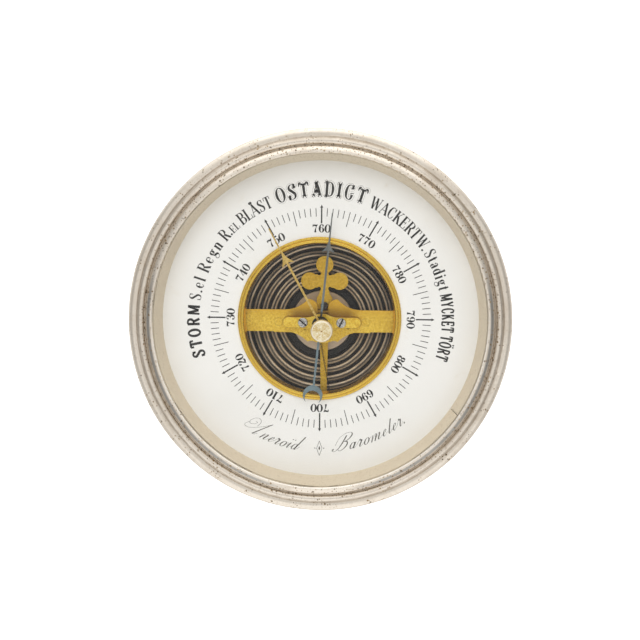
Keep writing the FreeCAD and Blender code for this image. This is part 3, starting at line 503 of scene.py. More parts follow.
def blued_steel():
    """Old blued steel, darker and greyer above the arbor, lighter and bluer below it."""
    s = Shader("blued_steel", Metallic=0.8)
    vector, _, _, _ = s.split()
    _, _, _, z = s.split(ARBOR_AXIS)
    cloud = s.noise(vector, 0.25, 3.0, 0.6)
    grain = s.noise(vector, 5.0, 3.0, 0.65)
    grey_above = s.mix(s.fade(cloud, 0.32, 0.68), (0.20, 0.20, 0.185), (0.155, 0.165, 0.165))
    blue = s.mix(s.fade(cloud, 0.32, 0.68), (0.225, 0.31, 0.345), (0.19, 0.25, 0.27))
    # Darker and greyer towards the top, lighter and bluer towards the bottom.
    colour = s.mix(s.fade(z, 26.0, -6.0, 0.10, 0.95), grey_above, blue)
    radius, _, _ = s.polar(ARBOR_AXIS)
    colour = s.mix(s.fade(radius, 5.6, 4.6), colour, (0.062, 0.063, 0.058))
    colour = s.mix(s.fade(grain, 0.55, 0.8, 0.0, 0.4), colour, (0.085, 0.08, 0.075))
    rough = s.fade(grain, 0.2, 0.8, 0.36, 0.52)
    return s.set(Base_Color=colour, Roughness=rough, Normal=s.bump(grain, 0.2, 0.02))


def steel(name, tone, rough_low, rough_high, rust=0.2, slot_front=None):
    """Brushed steel with a little rust. Behind slot_front, the front of the heads, the slots are painted near
    black as shade.
    """
    s = Shader(name, Metallic=1.0)
    vector, x, y, z = s.split()
    brush = s.noise(s.combine(s.times(x, 1.5), s.times(y, 6.0), s.times(z, 6.0)),
                    1.5, 3.0, 0.6)
    rusty = s.times(s.fade(s.noise(vector, 1.1, 4.0, 0.7), 0.55, 0.75), rust)
    colour = s.mix(s.fade(brush, 0.3, 0.7), tone, tinted(tone, 0.78))
    colour = s.mix(s.fade(s.noise(vector, 0.9, 3.0, 0.6), 0.50, 0.58, 0.0, 0.7), colour, tinted(tone, 0.36))
    colour = s.mix(rusty, colour, (0.25, 0.13, 0.06))
    if slot_front is not None:
        # Painted shade: everything behind the heads' front, in the slots, is near black.
        colour = s.mix(s.fade(y, slot_front + 0.12, slot_front + 0.28), colour, (0.035, 0.03, 0.025))
    rough = s.plus(s.fade(brush, 0.2, 0.8, rough_low, rough_high), s.times(rusty, 0.4))
    return s.set(Base_Color=colour, Roughness=rough, Normal=s.bump(brush, 0.2, 0.02))


def clear_glass():
    """Old flat glass: clear, with a weak mirror and a trace of smears."""
    material = bpy.data.materials.new("clear_glass")
    s = Nodes(material)
    s.tree.nodes.clear()
    smear = s.new("ShaderNodeTexNoise")
    s.fill(smear, Vector=s.new("ShaderNodeTexCoord").outputs["Object"], Scale=45.0, Detail=4.0)

    def smeared(low, high):
        node = s.new("ShaderNodeMapRange")
        s.fill(node, Value=smear.outputs["Fac"], To_Min=low, To_Max=high)
        return node.outputs["Result"]

    clear = s.new("ShaderNodeBsdfTransparent")
    s.fill(clear, Color=(0.969, 0.969, 0.964, 1))
    mirror = s.new("ShaderNodeBsdfGlossy")
    s.fill(mirror, Roughness=smeared(0.0, 0.06))
    blend = s.new("ShaderNodeMixShader")
    for socket, value in zip(blend.inputs, (smeared(0.018, 0.030), clear.outputs[0], mirror.outputs[0])):
        s.put(socket, value)
    s.fill(s.new("ShaderNodeOutputMaterial"), Surface=blend.outputs[0])
    return material


GILT = (0.89, 0.605, 0.072)
BRASS = (0.80, 0.60, 0.27)
SCREW_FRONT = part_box("cock_screws")[0].y / MM
materials = {
    "bezel": nickel("nickel_bezel", 1.0),
    "case": nickel("nickel_case", 0.6),
    "gilt": gilding("gilt_frosted", tinted(GILT, 1.08)),
    "gilt_bridge": gilding("gilt_bridge", GILT, marks=bridge_marks),
    # The lever and trefoil sit deeper, in shadow: their gilt is a darker copy, painted shade, with the dirt
    # and shade by the cock.
    "gilt_lever": gilding("gilt_lever", tinted(GILT, 0.84, 0.79, 0.62), marks=dirt_by_cock),
    "gilt_ring": turned_brass("gilt_ring", (0.84, 0.565, 0.085), RING_AXIS, 0.20, 0.32),
    "gilt_hand": gilding("gilt_hand", (0.72, 0.51, 0.14), 0.24, 0.38, 0.05),
    "brass": turned_brass("turned_brass", BRASS, ARBOR_AXIS, 0.24, 0.40),
    "knob": knob_brass(),
    "capsule": capsule_bronze(),
    "dial": dial_paint(),
    "ink": ink("black_ink", (0.020, 0.019, 0.017)),
    "faint_ink": ink("faint_ink", (0.10, 0.095, 0.08)),
    "pale_ink": ink("pale_ink", (0.30, 0.285, 0.26)),
    "reveal": reveal_lacquer(),
    "blued": blued_steel(),
    "bright_steel": steel("bright_steel", (0.78, 0.77, 0.75), 0.18, 0.30, 0.15, SCREW_FRONT),
    "dark_steel": steel("dark_steel", (0.10, 0.09, 0.08), 0.34, 0.5, 0.35),
    "steel": steel("plain_steel", (0.50, 0.49, 0.47), 0.26, 0.4, 0.3),
    "chain": steel("chain_steel", (0.055, 0.05, 0.045), 0.34, 0.50, 0.3),
    "glass": clear_glass(),
}
NODE_LOOKS = {
    "bezel": "bezel", "case": "case_drum hanger_plate hanger_rivets",
    "gilt": "cock lever_carrier", "gilt_bridge": "bridge strap_rivets",
    "gilt_lever": "main_lever lever_trefoil", "gilt_ring": "dial_inner_ring",
    "gilt_hand": "set_hand spindle_nut",
    "knob": "set_knob", "brass": "set_spindle hand_pipe chain_drum hairspring_stud input_arm chain_arm "
    "shaft_brackets movement_plate plate_spacers dial_feet capsule_stud capsule_post",
    "capsule": "capsule_upper capsule_lower", "dial": "dial", "reveal": "reveal_ring",
    "blued": "pressure_hand hairspring", "bright_steel": "cock_screws arbor",
    "dark_steel": "lever_screw bracket_screws bridge_foot_screws dial_foot_screws adjusting_screw",
    "steel": "case_screws lever_pivot_pin link_pin link_rod rock_shaft capsule_spring",
    "chain": "chain", "glass": "glass",
}


def add_mesh(name, mesh, material):
    """Makes an object of a bmesh and frees it."""
    data = bpy.data.meshes.new(name)
    mesh.to_mesh(data)
    mesh.free()
    data.materials.append(material)
    piece = bpy.data.objects.new(name, data)
    bpy.context.scene.collection.objects.link(piece)
    return piece


def dress_nodes():
    for look, names in NODE_LOOKS.items():
        for name in names.split():
            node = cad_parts[name]
            node.data.materials.clear()
            node.data.materials.append(materials[look])


# ---------------------------------------------------------------------------
# Lettering: each glyph is a few pen strokes on a grid where a capital is 10 high
# ---------------------------------------------------------------------------
# A stroke is one of: c = smooth curve, l = straight line, o = ring (centre, half width, half height),
# s = serif (x, y, half width), d = dot (x, y, radius), b = ball end (x, y, radius).
# After each point, T is the pen's full width, m is between, and h is a hairline.
GLYPHS = {
    "0": (5.4, "o 2.7,5 2.1,4.8"),
    "1": (4.4, "l 2.3,0T 2.3,9.9T|l 2.3,9.8h .6,8.6h|s 2.3,0 1.7"),
    "2": (5.4, "c 1.5,7.2h 1.2,8.6m 2.6,9.8h 4.1,9.0m 4.3,7.3T 3.0,4.6m .7,1.0h|c .7,.9h 1.7,1.5T "
     "3.7,.7T 4.8,1.2m 4.9,2.6h|b 1.4,7.6 .85"),
    "3": (5.2, "c 1.2,8.6m 2.6,9.8h 4.0,8.8m 4.1,7.2T 3.4,5.7h 2.0,5.3h|c 2.0,5.3h 3.7,5.0m 4.5,3.0T "
     "4.0,1.0m 2.5,.1h 1.0,1.2m|b 1.3,8.0 .8|b 1.2,2.0 .9"),
    "4": (5.6, "l .5,2.9h 3.7,9.9h|l .4,2.8h 5.3,2.8h|l 3.7,0T 3.7,9.9T|s 3.7,0 1.5"),
    "5": (5.2, "l 1.3,9.0T 4.4,9.2T|l 1.2,9.2h 1.1,5.2h|c 1.1,5.2h 2.6,6.2h 4.1,5.3m 4.5,3.2T 3.9,1.0m "
     "2.4,.1h .9,1.2m|b 1.2,2.0 .9"),
    "6": (5.4, "c 4.3,8.8m 3.1,9.8h 1.7,8.6m .95,5.0T 1.3,1.6m 2.7,.1h 4.1,1.2m 4.5,3.1T 4.0,5.0m "
     "2.8,5.9h 1.5,5.0h 1.0,3.6h|b 4.1,8.0 .85"),
    "7": (5.4, "c .5,7.2h .9,9.2m 2.4,8.9T 3.8,8.5T 4.9,9.9h|c 4.9,9.7h 3.5,6.4h 2.7,3.6m 2.4,.3T|l "
     ".5,7.0h .5,9.9h"),
    "8": (5.4, "o 2.7,7.5 1.5,2.3|o 2.7,2.7 1.95,2.6"),
    "A": (6.6, "l 3.1,10T 6.0,0T|l 3.2,9.6h .6,0h|l 1.4,3.3h 4.9,3.3h|s .7,0 1.0|s 5.9,0 1.2"),
    "B": (6.0, "l 1.4,0T 1.4,10T|c 1.4,9.8h 3.4,9.8h 4.7,8.9m 4.8,6.6T 3.4,5.3h 1.4,5.2h|c 1.4,5.2h "
     "3.7,5.2h 5.2,4.0m 5.2,1.7T 3.7,.2h 1.4,.2h|s 1.0,0 1.0|s 1.0,10 1.0"),
    "C": (6.0, "c 5.2,7.2h 4.5,9.2h 3.1,9.8h 1.6,8.6m .95,5T 1.6,1.4m 3.2,.2h 4.6,1.0h 5.3,2.8h|l "
     "5.3,9.8h 5.3,6.9h"),
    "D": (6.4, "l 1.4,0T 1.4,10T|c 1.4,9.8h 3.3,9.7h 4.9,8.3m 5.5,5T 4.9,1.7m 3.3,.3h 1.4,.2h|s 1.0,0 "
     "1.0|s 1.0,10 1.0"),
    "E": (5.8, "l 1.4,0T 1.4,10T|l 1.2,9.8h 5.0,9.8h|l 1.2,5.1h 3.9,5.1h|l 1.2,.2h 5.2,.2h|l 5.0,10h "
     "5.0,7.5h|l 3.9,6.2h 3.9,4.0h|l 5.2,0h 5.2,2.7h|s 1.0,0 1.0|s 1.0,10 1.0"),
    "G": (6.4, "c 5.1,7.2h 4.4,9.2h 3.1,9.8h 1.6,8.6m .95,5T 1.6,1.4m 3.2,.2h 4.6,.9h 5.0,2.4h|l 5.0,.6T "
     "5.0,4.4T|s 4.9,4.4 1.1|l 5.2,9.8h 5.2,6.9h"),
    "I": (3.0, "l 1.5,0T 1.5,10T|s 1.5,0 1.3|s 1.5,10 1.3"),
    "K": (6.4, "l 1.4,0T 1.4,10T|l 1.6,3.9h 5.0,9.9h|l 2.7,5.9T 5.5,0T|s 1.3,0 1.2|s 1.3,10 1.2|s 5.4,0 "
     "1.1|s 4.9,10 1.0"),
    "L": (5.4, "l 1.4,0T 1.4,10T|l 1.2,.2h 5.0,.2h|l 5.0,0h 5.0,2.9h|s 1.3,10 1.3|s 1.0,0 1.0"),
    "M": (7.8, "l 1.1,0h 1.1,10h|l 1.3,10T 3.9,1.0T|l 3.9,.8h 6.3,9.9h|l 6.5,0T 6.5,10T|s 1.1,0 1.0|s "
     "6.5,0 1.3|s .9,10 .8|s 6.7,10 1.0"),
    "O": (6.4, "o 3.2,5 2.4,4.8"),
    "R": (6.2, "l 1.4,0T 1.4,10T|c 1.4,9.8h 3.4,9.8h 4.8,8.8m 4.9,6.6T 3.4,5.1h 1.4,5.0h|l 3.3,5.1T "
     "5.4,0T|s 1.3,0 1.2|s 1.0,10 1.0|s 5.5,0 .8"),
    "S": (5.6, "c 4.5,7.4h 4.3,9.0h 2.9,9.8h 1.5,9.0m 1.25,7.2T 2.8,5.3T 4.5,3.3T 4.3,1.1m 2.8,.15h "
     "1.3,.8h 1.0,2.8h|l 4.6,9.8h 4.6,7.1h|l .9,.2h .9,3.0h"),
    "T": (6.0, "l 3,0T 3,10T|l .6,9.8h 5.4,9.8h|l .6,10h .6,7.3h|l 5.4,10h 5.4,7.3h|s 3,0 1.3"),
    "W": (8.8, "l .8,10T 2.8,0T|l 2.9,.4h 4.5,9.6h|l 4.3,10T 6.3,0T|l 6.4,.4h 8.1,10h|s .8,10 1.1|s "
     "8.1,10 .9"),
    "Y": (6.2, "l .9,10T 3.2,4.6T|l 5.5,10h 3.3,4.8h|l 3.1,0T 3.1,5.0T|s .8,10 1.1|s 5.5,10 .9|s 3.1,0 "
     "1.3"),
    "a": (4.8, "c 1.1,5.2h 2.1,6.3h 3.2,5.8m 3.4,4.6T 3.4,1.5T 3.9,.4h 4.6,.7h|c 3.3,3.7h 1.9,3.2h "
     "1.1,2.2T 1.2,.8m 2.2,.1h 3.3,1.3h|b 1.2,5.0 .55"),
    "d": (5.2, "o 2.3,3.1 1.5,3.0|l 4.0,0T 4.0,9.9T|l 4.0,9.8h 2.9,9.5h|l 4.0,.2h 4.9,.4h"),
    "e": (4.6, "c .95,3.5h 3.8,3.6h 3.7,5.3m 2.5,6.2h 1.3,5.4m .95,3.2T 1.4,1.1m 2.6,.1h 3.9,1.3h"),
    "g": (4.9, "o 2.1,4.5 1.2,1.7|l 3.2,5.7h 4.4,6.2h|c 1.2,3.0h 1.0,2.0h 2.3,1.4T 4.0,.6T 4.0,-1.2h "
     "2.3,-2.2h .8,-1.4h 1.2,.2h 2.2,.8h|b 4.4,6.0 .5"),
    "i": (2.8, "l 1.5,0T 1.5,6.2T|l 1.4,6.1h .4,5.7h|s 1.5,0 1.1|d 1.5,8.4 .8"),
    "l": (2.8, "l 1.5,0T 1.5,10T|l 1.4,9.9h .4,9.6h|s 1.5,0 1.1"),
    "n": (5.4, "l 1.3,0T 1.3,6.2T|l 1.2,6.1h .3,5.7h|c 1.4,4.7h 2.6,6.2h 3.9,5.2T 4.0,3.2T 4.0,0T|s "
     "1.3,0 1.1|s 4.0,0 1.1"),
    "t": (3.6, "c 1.7,8.4m 1.7,6.2T 1.7,1.4T 2.4,.2h 3.4,.9h|l .4,6.1h 3.3,6.1h"),
    ".": (1.8, "d .9,.8 .85"),
}
SCRIPT = {
    "A": (7.4, "c -2.4,7.4h -1.2,7.2h -1.4,5.6h -3.2,4.8h -4.8,6.2h -4.6,9.0h -2.4,9.9h 0,8.2h 1.0,5.2h|"
     "c -4.6,5.4h -4.4,2.6h -1.6,2.0h 1.0,4.0h 3.4,7.4h 5.2,11h|l 5.0,10.8m 3.6,0T|c 3.6,.6h 4.4,.1h "
     "5.4,1.6h"),
    "B": (7.0, "c 2.4,8.6T 1.9,4.6T 1.0,1.4m -.6,0h -2.2,.7h -2.0,1.7h|c -1.6,3.4h -1.2,7.6h 1.4,9.9h "
     "4.4,10h 5.4,8.2T 4.2,5.9m 2.4,5.2h|c 2.4,5.2h 4.4,4.8m 5.0,2.8T 3.8,.6m 2.2,0h .9,1.0h|b -1.9,1.2 "
     ".5"),
    "a": (4.2, "o 1.6,1.8 1.1,1.75|c 2.8,3.5T 2.7,.8T 3.3,.1h 4.2,1.7h"),
    "d": (4.4, "o 1.6,1.8 1.1,1.75|c 2.9,8.6T 2.8,4.4T 2.7,.8T 3.3,.1h 4.6,2.2h"),
    "e": (3.0, "c -.2,1.2h 1.2,1.9h 1.9,3.0m 1.4,3.6h .7,2.9m .6,1.2T 1.4,.1h 3.0,1.7h"),
    "i": (2.5, "c -.1,1.6h .9,3.6m .8,.9T 1.4,.1h 2.5,1.7h"),
    "j": (2.5, "c -.1,1.6h .9,3.6m .8,.9T 1.4,.1h 2.5,1.7h|d .3,5.8 .30|d 1.7,5.8 .30"),
    "m": (7.0, "l .9,3.6m .8,0T|c .9,.8h 2.2,3.5h 2.9,3.2T 2.8,0T|c 2.9,.8h 4.2,3.5h 4.9,3.2T 4.8,.8T "
     "5.5,.1h 6.9,1.7h"),
    "n": (5.0, "l .9,3.6m .8,0T|c .9,.8h 2.2,3.5h 2.9,3.2T 2.8,.8T 3.5,.1h 4.9,1.7h"),
    "o": (4.0, "o 1.7,1.8 1.2,1.75|c 2.6,3.2h 3.2,2.8h 4.0,3.3h"),
    "r": (3.8, "c -.1,1.4h .9,4.2h 1.2,3.5m 2.1,3.4T 1.9,.8T 2.6,.1h 3.8,1.7h|b 1.0,4.0 .38"),
    "t": (3.2, "c 1.4,7.6T 1.2,4.0T 1.1,.9T 1.7,.1h 3.0,1.7h"),
    ".": (2.0, "d .8,.4 .42"),
}
# The fancy word's letters have forked hairline feet and curled tops.
FANCY_LETTERS = {
    "O": (6.4, "o 3.2,5 2.35,4.75"),
    "S": (5.8, "c 4.8,7.3h 4.3,9.2h 3.0,9.8h 1.6,8.8m 1.5,6.9T 3.1,5.2T 4.6,3.3T 4.4,1.2m 2.9,.2h "
     "1.4,.9h .9,2.8h|l 5.3,10.1h 4.7,6.9h|l .5,-.1h .9,3.2h"),
    "T": (6.6, "l 3.3,.9T 3.3,9.2T|l 2.0,-.3h 3.3,1.5m 4.6,-.3h|c 3.3,9.0h 2.2,9.2h 1.3,10.1h .5,9.4m "
     ".2,7.4h|c 3.3,9.0h 4.4,9.2h 5.3,10.1h 6.1,9.4m 6.4,7.4h"),
    "A": (6.8, "c 3.5,9.6m 4.6,5.0T 5.4,1.0T|l 3.3,9.4h 1.3,.8h|l 2.2,3.5h 4.6,3.5h|d 3.2,3.5 .5|l "
     ".2,-.3h 1.3,1.0h 2.4,-.3h|l 4.2,-.3h 5.4,1.5m 6.7,-.3h|l 2.5,10.4h 3.5,9.4h 4.5,10.4h"),
    "D": (6.4, "l 1.7,.6T 1.7,9.4T|c 1.2,9.6h 3.4,9.7h 5.0,8.4m 5.6,5T 5.0,1.6m 3.4,.3h 1.2,.4h|l "
     ".1,10.4h 1.7,9.2h|l .1,-.4h 1.7,.8h"),
    "I": (3.6, "l 1.8,.9T 1.8,9.1T|l .5,-.3h 1.8,1.5m 3.1,-.3h|l .5,10.3h 1.8,8.5m 3.1,10.3h"),
    "G": (6.6, "c 5.0,7.4h 4.4,9.3h 3.2,9.8h 1.7,8.6m 1.1,5T 1.7,1.4m 3.2,.2h 4.6,.9m 5.1,3.6T|l "
     "3.9,4.3h 6.2,4.6h|l 5.6,10.0h 5.0,6.9h"),
}


class Pen:
    """How a word is drawn: pen widths on the glyph grid, and which ornaments it has."""

    def __init__(self, thick, hair, serifs=True, balls=True, slant=0.0, extra=0.0):
        self.thick, self.hair = thick, hair
        self.serifs, self.balls, self.slant, self.extra = serifs, balls, slant, extra

    def width(self, letter):
        return {"T": self.thick, "m": (self.thick + self.hair) / 2, "h": self.hair}[letter]

    def wider(self, extra):
        return Pen(self.thick + extra, self.hair + extra, self.serifs, self.balls, self.slant, extra)


def smooth(points, steps=5):
    """A Catmull-Rom curve through (x, y, width) points."""
    padded = [points[0]] + points + [points[-1]]
    out = []
    for i in range(1, len(padded) - 2):
        p0, p1, p2, p3 = padded[i - 1:i + 3]
        for k in range(steps):
            t = k / steps
            out.append(tuple(0.5 * (2 * b + (c - a) * t + (2 * a - 5 * b + 4 * c - d) * t * t
                                    + (3 * b - a - 3 * c + d) * t ** 3)
                             for a, b, c, d in zip(p0, p1, p2, p3)))
    return out + [points[-1]]


def ribbon(points, closed=False):
    """The quads of a stroke with the width given at each point."""
    sides = []
    count = len(points)
    for i, (x, y, w) in enumerate(points):
        before = points[(i - 1) % count] if closed or i else points[i]
        after = points[(i + 1) % count] if closed or i < count - 1 else points[i]
        dx, dy = after[0] - before[0], after[1] - before[1]
        length = math.hypot(dx, dy) or 1.0
        nx, ny = -dy / length * w / 2, dx / length * w / 2
        sides.append(((x + nx, y + ny), (x - nx, y - ny)))
    following = sides[1:] + sides[:1]
    last = count if closed else count - 1
    return [[a[0], b[0], b[1], a[1]] for a, b in zip(sides[:last], following)]


def circle(radius, count, x=0.0, y=0.0):
    """Points evenly spaced round a centre."""
    turns = [2 * math.pi * i / count for i in range(count)]
    return [(x + radius * math.cos(t), y + radius * math.sin(t)) for t in turns]


def disc(x, y, radius):
    return [circle(radius, DISC_CORNERS, x, y)]


def numbers(text):
    return [float(n) for n in text.split(",")]


def stroke_strips(stroke, pen):
    """Every stroke of a glyph as a list of polygons on the grid."""
    kind, *items = stroke.split()
    if kind in "cl":
        points = [(*numbers(item[:-1]), pen.width(item[-1])) for item in items]
        return ribbon(smooth(points) if kind == "c" else points)
    if kind == "o":
        (cx, cy), (rx, ry) = numbers(items[0]), numbers(items[1])
        points = []
        for i in range(RING_CORNERS):
            t = 2 * math.pi * i / RING_CORNERS
            width = pen.hair + (pen.thick - pen.hair) * abs(math.cos(t)) ** 1.6
            points.append((cx + rx * math.cos(t), cy + ry * math.sin(t), width))
        return ribbon(points, closed=True)
    x, y = numbers(items[0])
    size = float(items[1])
    if kind == "s":
        return ribbon([(x - size, y, pen.hair), (x + size, y, pen.hair)]) if pen.serifs else []
    if kind == "b" and not pen.balls:
        return []
    return disc(x, y, size + pen.extra / 2)


def glyph_polygons(letters, letter, pen):
    polygons = []
    for stroke in letters[letter][1].split("|"):
        polygons += stroke_strips(stroke, pen)
    return [[(x + y * pen.slant, y) for x, y in polygon] for polygon in polygons]


def nine():
    """The 9 is the 6 turned half round."""
    width, strokes = GLYPHS["6"]
    turned = []
    for stroke in strokes.split("|"):
        kind, *items = stroke.split()
        flipped = []
        for item in items:
            mark = item[-1] if item[-1] in "Tmh" else ""
            body = item[:-1] if mark else item
            if "," in body:
                x, y = numbers(body)
                body = f"{width - x:.2f},{9.9 - y:.2f}"
            flipped.append(body + mark)
        turned.append(" ".join([kind] + flipped))
    return width, "|".join(turned)


GLYPHS["9"] = nine()
GLYPHS["Ö"] = (GLYPHS["O"][0], GLYPHS["O"][1] + "|d 2.0,11.7 .8|d 4.4,11.7 .8")
GLYPHS["Å"] = (GLYPHS["A"][0], GLYPHS["A"][1] + "|o 3.1,11.4 .75,.85")

HEAVY = Pen(1.9, 0.55)
SANS = Pen(1.95, 1.55, serifs=False, balls=False)
NARROW_SANS = Pen(2.0, 1.35, serifs=False, balls=False)
ROMAN = Pen(1.6, 0.48)
BOLD_ROMAN = Pen(1.6, 0.5)
FANCY = Pen(1.68, 0.5)
HAND = Pen(0.72, 0.18, slant=0.61)


class Print:
    """Collects flat shapes on the dial, then makes one raised mesh of them."""

    def __init__(self, height=PRINT_HEIGHT):
        self.mesh = bmesh.new()
        self.front = DIAL_CENTRE.y - height * MM

    def polygon(self, corners):
        """corners are (x, z) in mm from the dial's centre."""
        area = sum(a[0] * b[1] - b[0] * a[1] for a, b in zip(corners, corners[1:] + corners[:1]))
        if abs(area) < 1e-7:
            return
        if area < 0:
            corners = corners[::-1]
        back = DIAL_CENTRE.y + INK_SINK * MM
        rings = []
        for y in (back, self.front):
            rings.append([self.mesh.verts.new((DIAL_CENTRE.x + x * MM, y, DIAL_CENTRE.z + z * MM))
                          for x, z in corners])
        low, high = rings
        count = len(corners)
        self.mesh.faces.new(high)
        self.mesh.faces.new(low[::-1])
        for i in range(count):
            j = (i + 1) % count
            self.mesh.faces.new((low[i], low[j], high[j], high[i]))

    def on_circle(self, polygons, degrees, base_r, inward=False):
        """Sets shapes drawn in mm about their own base point on a circle, tops outward or inward."""
        turn = math.radians(degrees)
        out = (math.sin(turn), math.cos(turn))
        along = (math.cos(turn), -math.sin(turn))
        if inward:
            along = (-along[0], -along[1])
        sign = -1 if inward else 1
        for polygon in polygons:
            placed = [(x, base_r + sign * y) for x, y in polygon]
            self.polygon([(along[0] * x + out[0] * r, along[1] * x + out[1] * r) for x, r in placed])

    def word(self, text, start, end, pen, base_r=WORD_BASE_R, height=WORD_HEIGHT, letters=GLYPHS, small="",
             gap=0.9, inward=False):
        """Letters spread from one angle to another. Those in small are drawn as small capitals."""
        sizes = [0.66 if letter in small else 1.0 for letter in text]
        drawn = [letter.upper() if letter in small else letter for letter in text]
        total = sum(letters[c][0] * f + gap for c, f in zip(drawn, sizes)) - gap
        middle_r = base_r + (-0.4 if inward else 0.4) * height
        arc = math.radians(abs(end - start)) * middle_r
        scale_y = height / 10
        scale_x = arc / total
        place = 0.0
        for letter, size in zip(drawn, sizes):
            wide = letters[letter][0] * size
            centre = place + wide / 2
            degrees = start + (end - start) * centre / total
            polygons = [[((x * size - wide / 2) * scale_x, y * size * scale_y) for x, y in polygon]
                        for polygon in glyph_polygons(letters, letter, pen)]
            self.on_circle(polygons, degrees, base_r, inward)
            place += wide + gap

    def finish(self, name, material):
        bmesh.ops.recalc_face_normals(self.mesh, faces=self.mesh.faces)
        piece = add_mesh(name, self.mesh, material)
        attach(piece, "case")


def print_scale():
    """Unit, five and ten marks all round, and an arrow head on each ten."""
    sheet = Print()
    for i in range(TICK_COUNT):
        degrees = 360 * i / TICK_COUNT
        ten, five = i % 10 == 0, i % 5 == 0
        inner = FIVE_INNER_R if five else UNIT_INNER_R
        outer = TEN_OUTER_R if ten else TICK_OUTER_R
        half = TEN_HALF if ten else TICK_HALF
        sheet.on_circle([[(-half, inner), (half, inner), (half, outer), (-half, outer)]], degrees, 0)
        if ten:
            sheet.on_circle([[(-ARROW_HALF, TEN_OUTER_R - 0.3), (0, TEN_OUTER_R - 0.05),
                              (ARROW_HALF, TEN_OUTER_R - 0.3), (0, ARROW_TIP_R)]], degrees, 0)
    sheet.finish("dial_scale", materials["ink"])


def print_numerals():
    """690 to 800 by tens, with 760 at the top."""
    sheet = Print()
    for value in range(FIRST_MARK, LAST_MARK + 1, 10):
        middle = (value - TOP_MARK) * 360 / TICK_COUNT
        sheet.word(str(value), middle - NUMERAL_HALF, middle + NUMERAL_HALF, HEAVY, NUMERAL_BASE_R,
                   NUMERAL_HEIGHT, gap=0.45)
    sheet.finish("dial_numerals", materials["ink"])


def fancy_word(sheet, pen):
    sheet.word("OSTADIGT", 339.2, 380.2, pen, WORD_BASE_R + 0.3, FANCY_HEIGHT, FANCY_LETTERS, gap=1.5)


def print_outlines():
    """The hairline round the fancy word: wide letters in grey, and slightly narrower ones in dial paint."""
    for name, extra, height, look in (("dial_word_outline", 1.95, 0.012, "pale_ink"),
                                      ("dial_word_inset", 1.6, 0.020, "dial")):
        sheet = Print(height)
        fancy_word(sheet, FANCY.wider(extra))
        sheet.finish(name, materials[look])


# Each word: first and last angle, pen, gap between letters, and letters drawn as small capitals.
WEATHER_WORDS = (
    ("STORM", 251.5, 275.5, SANS, 2.2, ""),
    ("S.el", 277.7, 288.3, ROMAN, 1.6, ""),
    ("Regn", 291.2, 306.3, ROMAN, 1.7, ""),
    ("R.el", 308.7, 318.3, ROMAN, 0.7, "el"),
    ("BLÅST", 319.6, 336.5, BOLD_ROMAN, 0.5, ""),
    ("WACKERT", 382.8, 409.2, BOLD_ROMAN, 0.4, ""),
    ("W.", 409.8, 415.8, BOLD_ROMAN, 0.4, ""),
    ("Stadigt", 417.0, 436.4, ROMAN, 1.1, ""),
    ("MYCKET", 438.2, 455.6, NARROW_SANS, 1.1, ""),
    ("TÖRT", 457.2, 468.6, NARROW_SANS, 1.1, ""),
)


def print_weather():
    """Weather words outside the scale, from storm on the left over to very dry on the right."""
    sheet = Print()
    for text, start, end, pen, gap, small in WEATHER_WORDS:
        sheet.word(text, start, end, pen, small=small, gap=gap)
    fancy_word(sheet, FANCY)
    sheet.finish("dial_weather_words", materials["ink"])


def print_script():
    """The two words in a sloping hand under the scale, upright for the reader."""
    sheet = Print()
    for text, start, end in (("Anerojd", 213.0, 189.7), ("Barometer.", 173.3, 139.9)):
        sheet.word(text, start, end, HAND, SCRIPT_BASE_R, SCRIPT_HEIGHT, SCRIPT, gap=0.0, inward=True)
    sheet.finish("dial_script", materials["faint_ink"])


def print_ornament():
    """A plain open diamond with a solid one inside it, between the two words."""
    sheet = Print()
    half_w, half_h, line = 1.05, 2.9, 0.16
    corners = [(0, half_h), (half_w, 0), (0, -half_h), (-half_w, 0)]
    for a, b in zip(corners, corners[1:] + corners[:1]):
        sheet.on_circle(ribbon([(*a, line), (*b, line)]), 180, ORNAMENT_R, True)
    sheet.on_circle([[(0, 0.9), (0.36, 0), (0, -0.9), (-0.36, 0)]], 180, ORNAMENT_R, True)
    for side in (-1, 1):
        sheet.on_circle(disc(side * 1.75, 0, 0.22), 180, ORNAMENT_R, True)
    sheet.finish("dial_ornament", materials["faint_ink"])


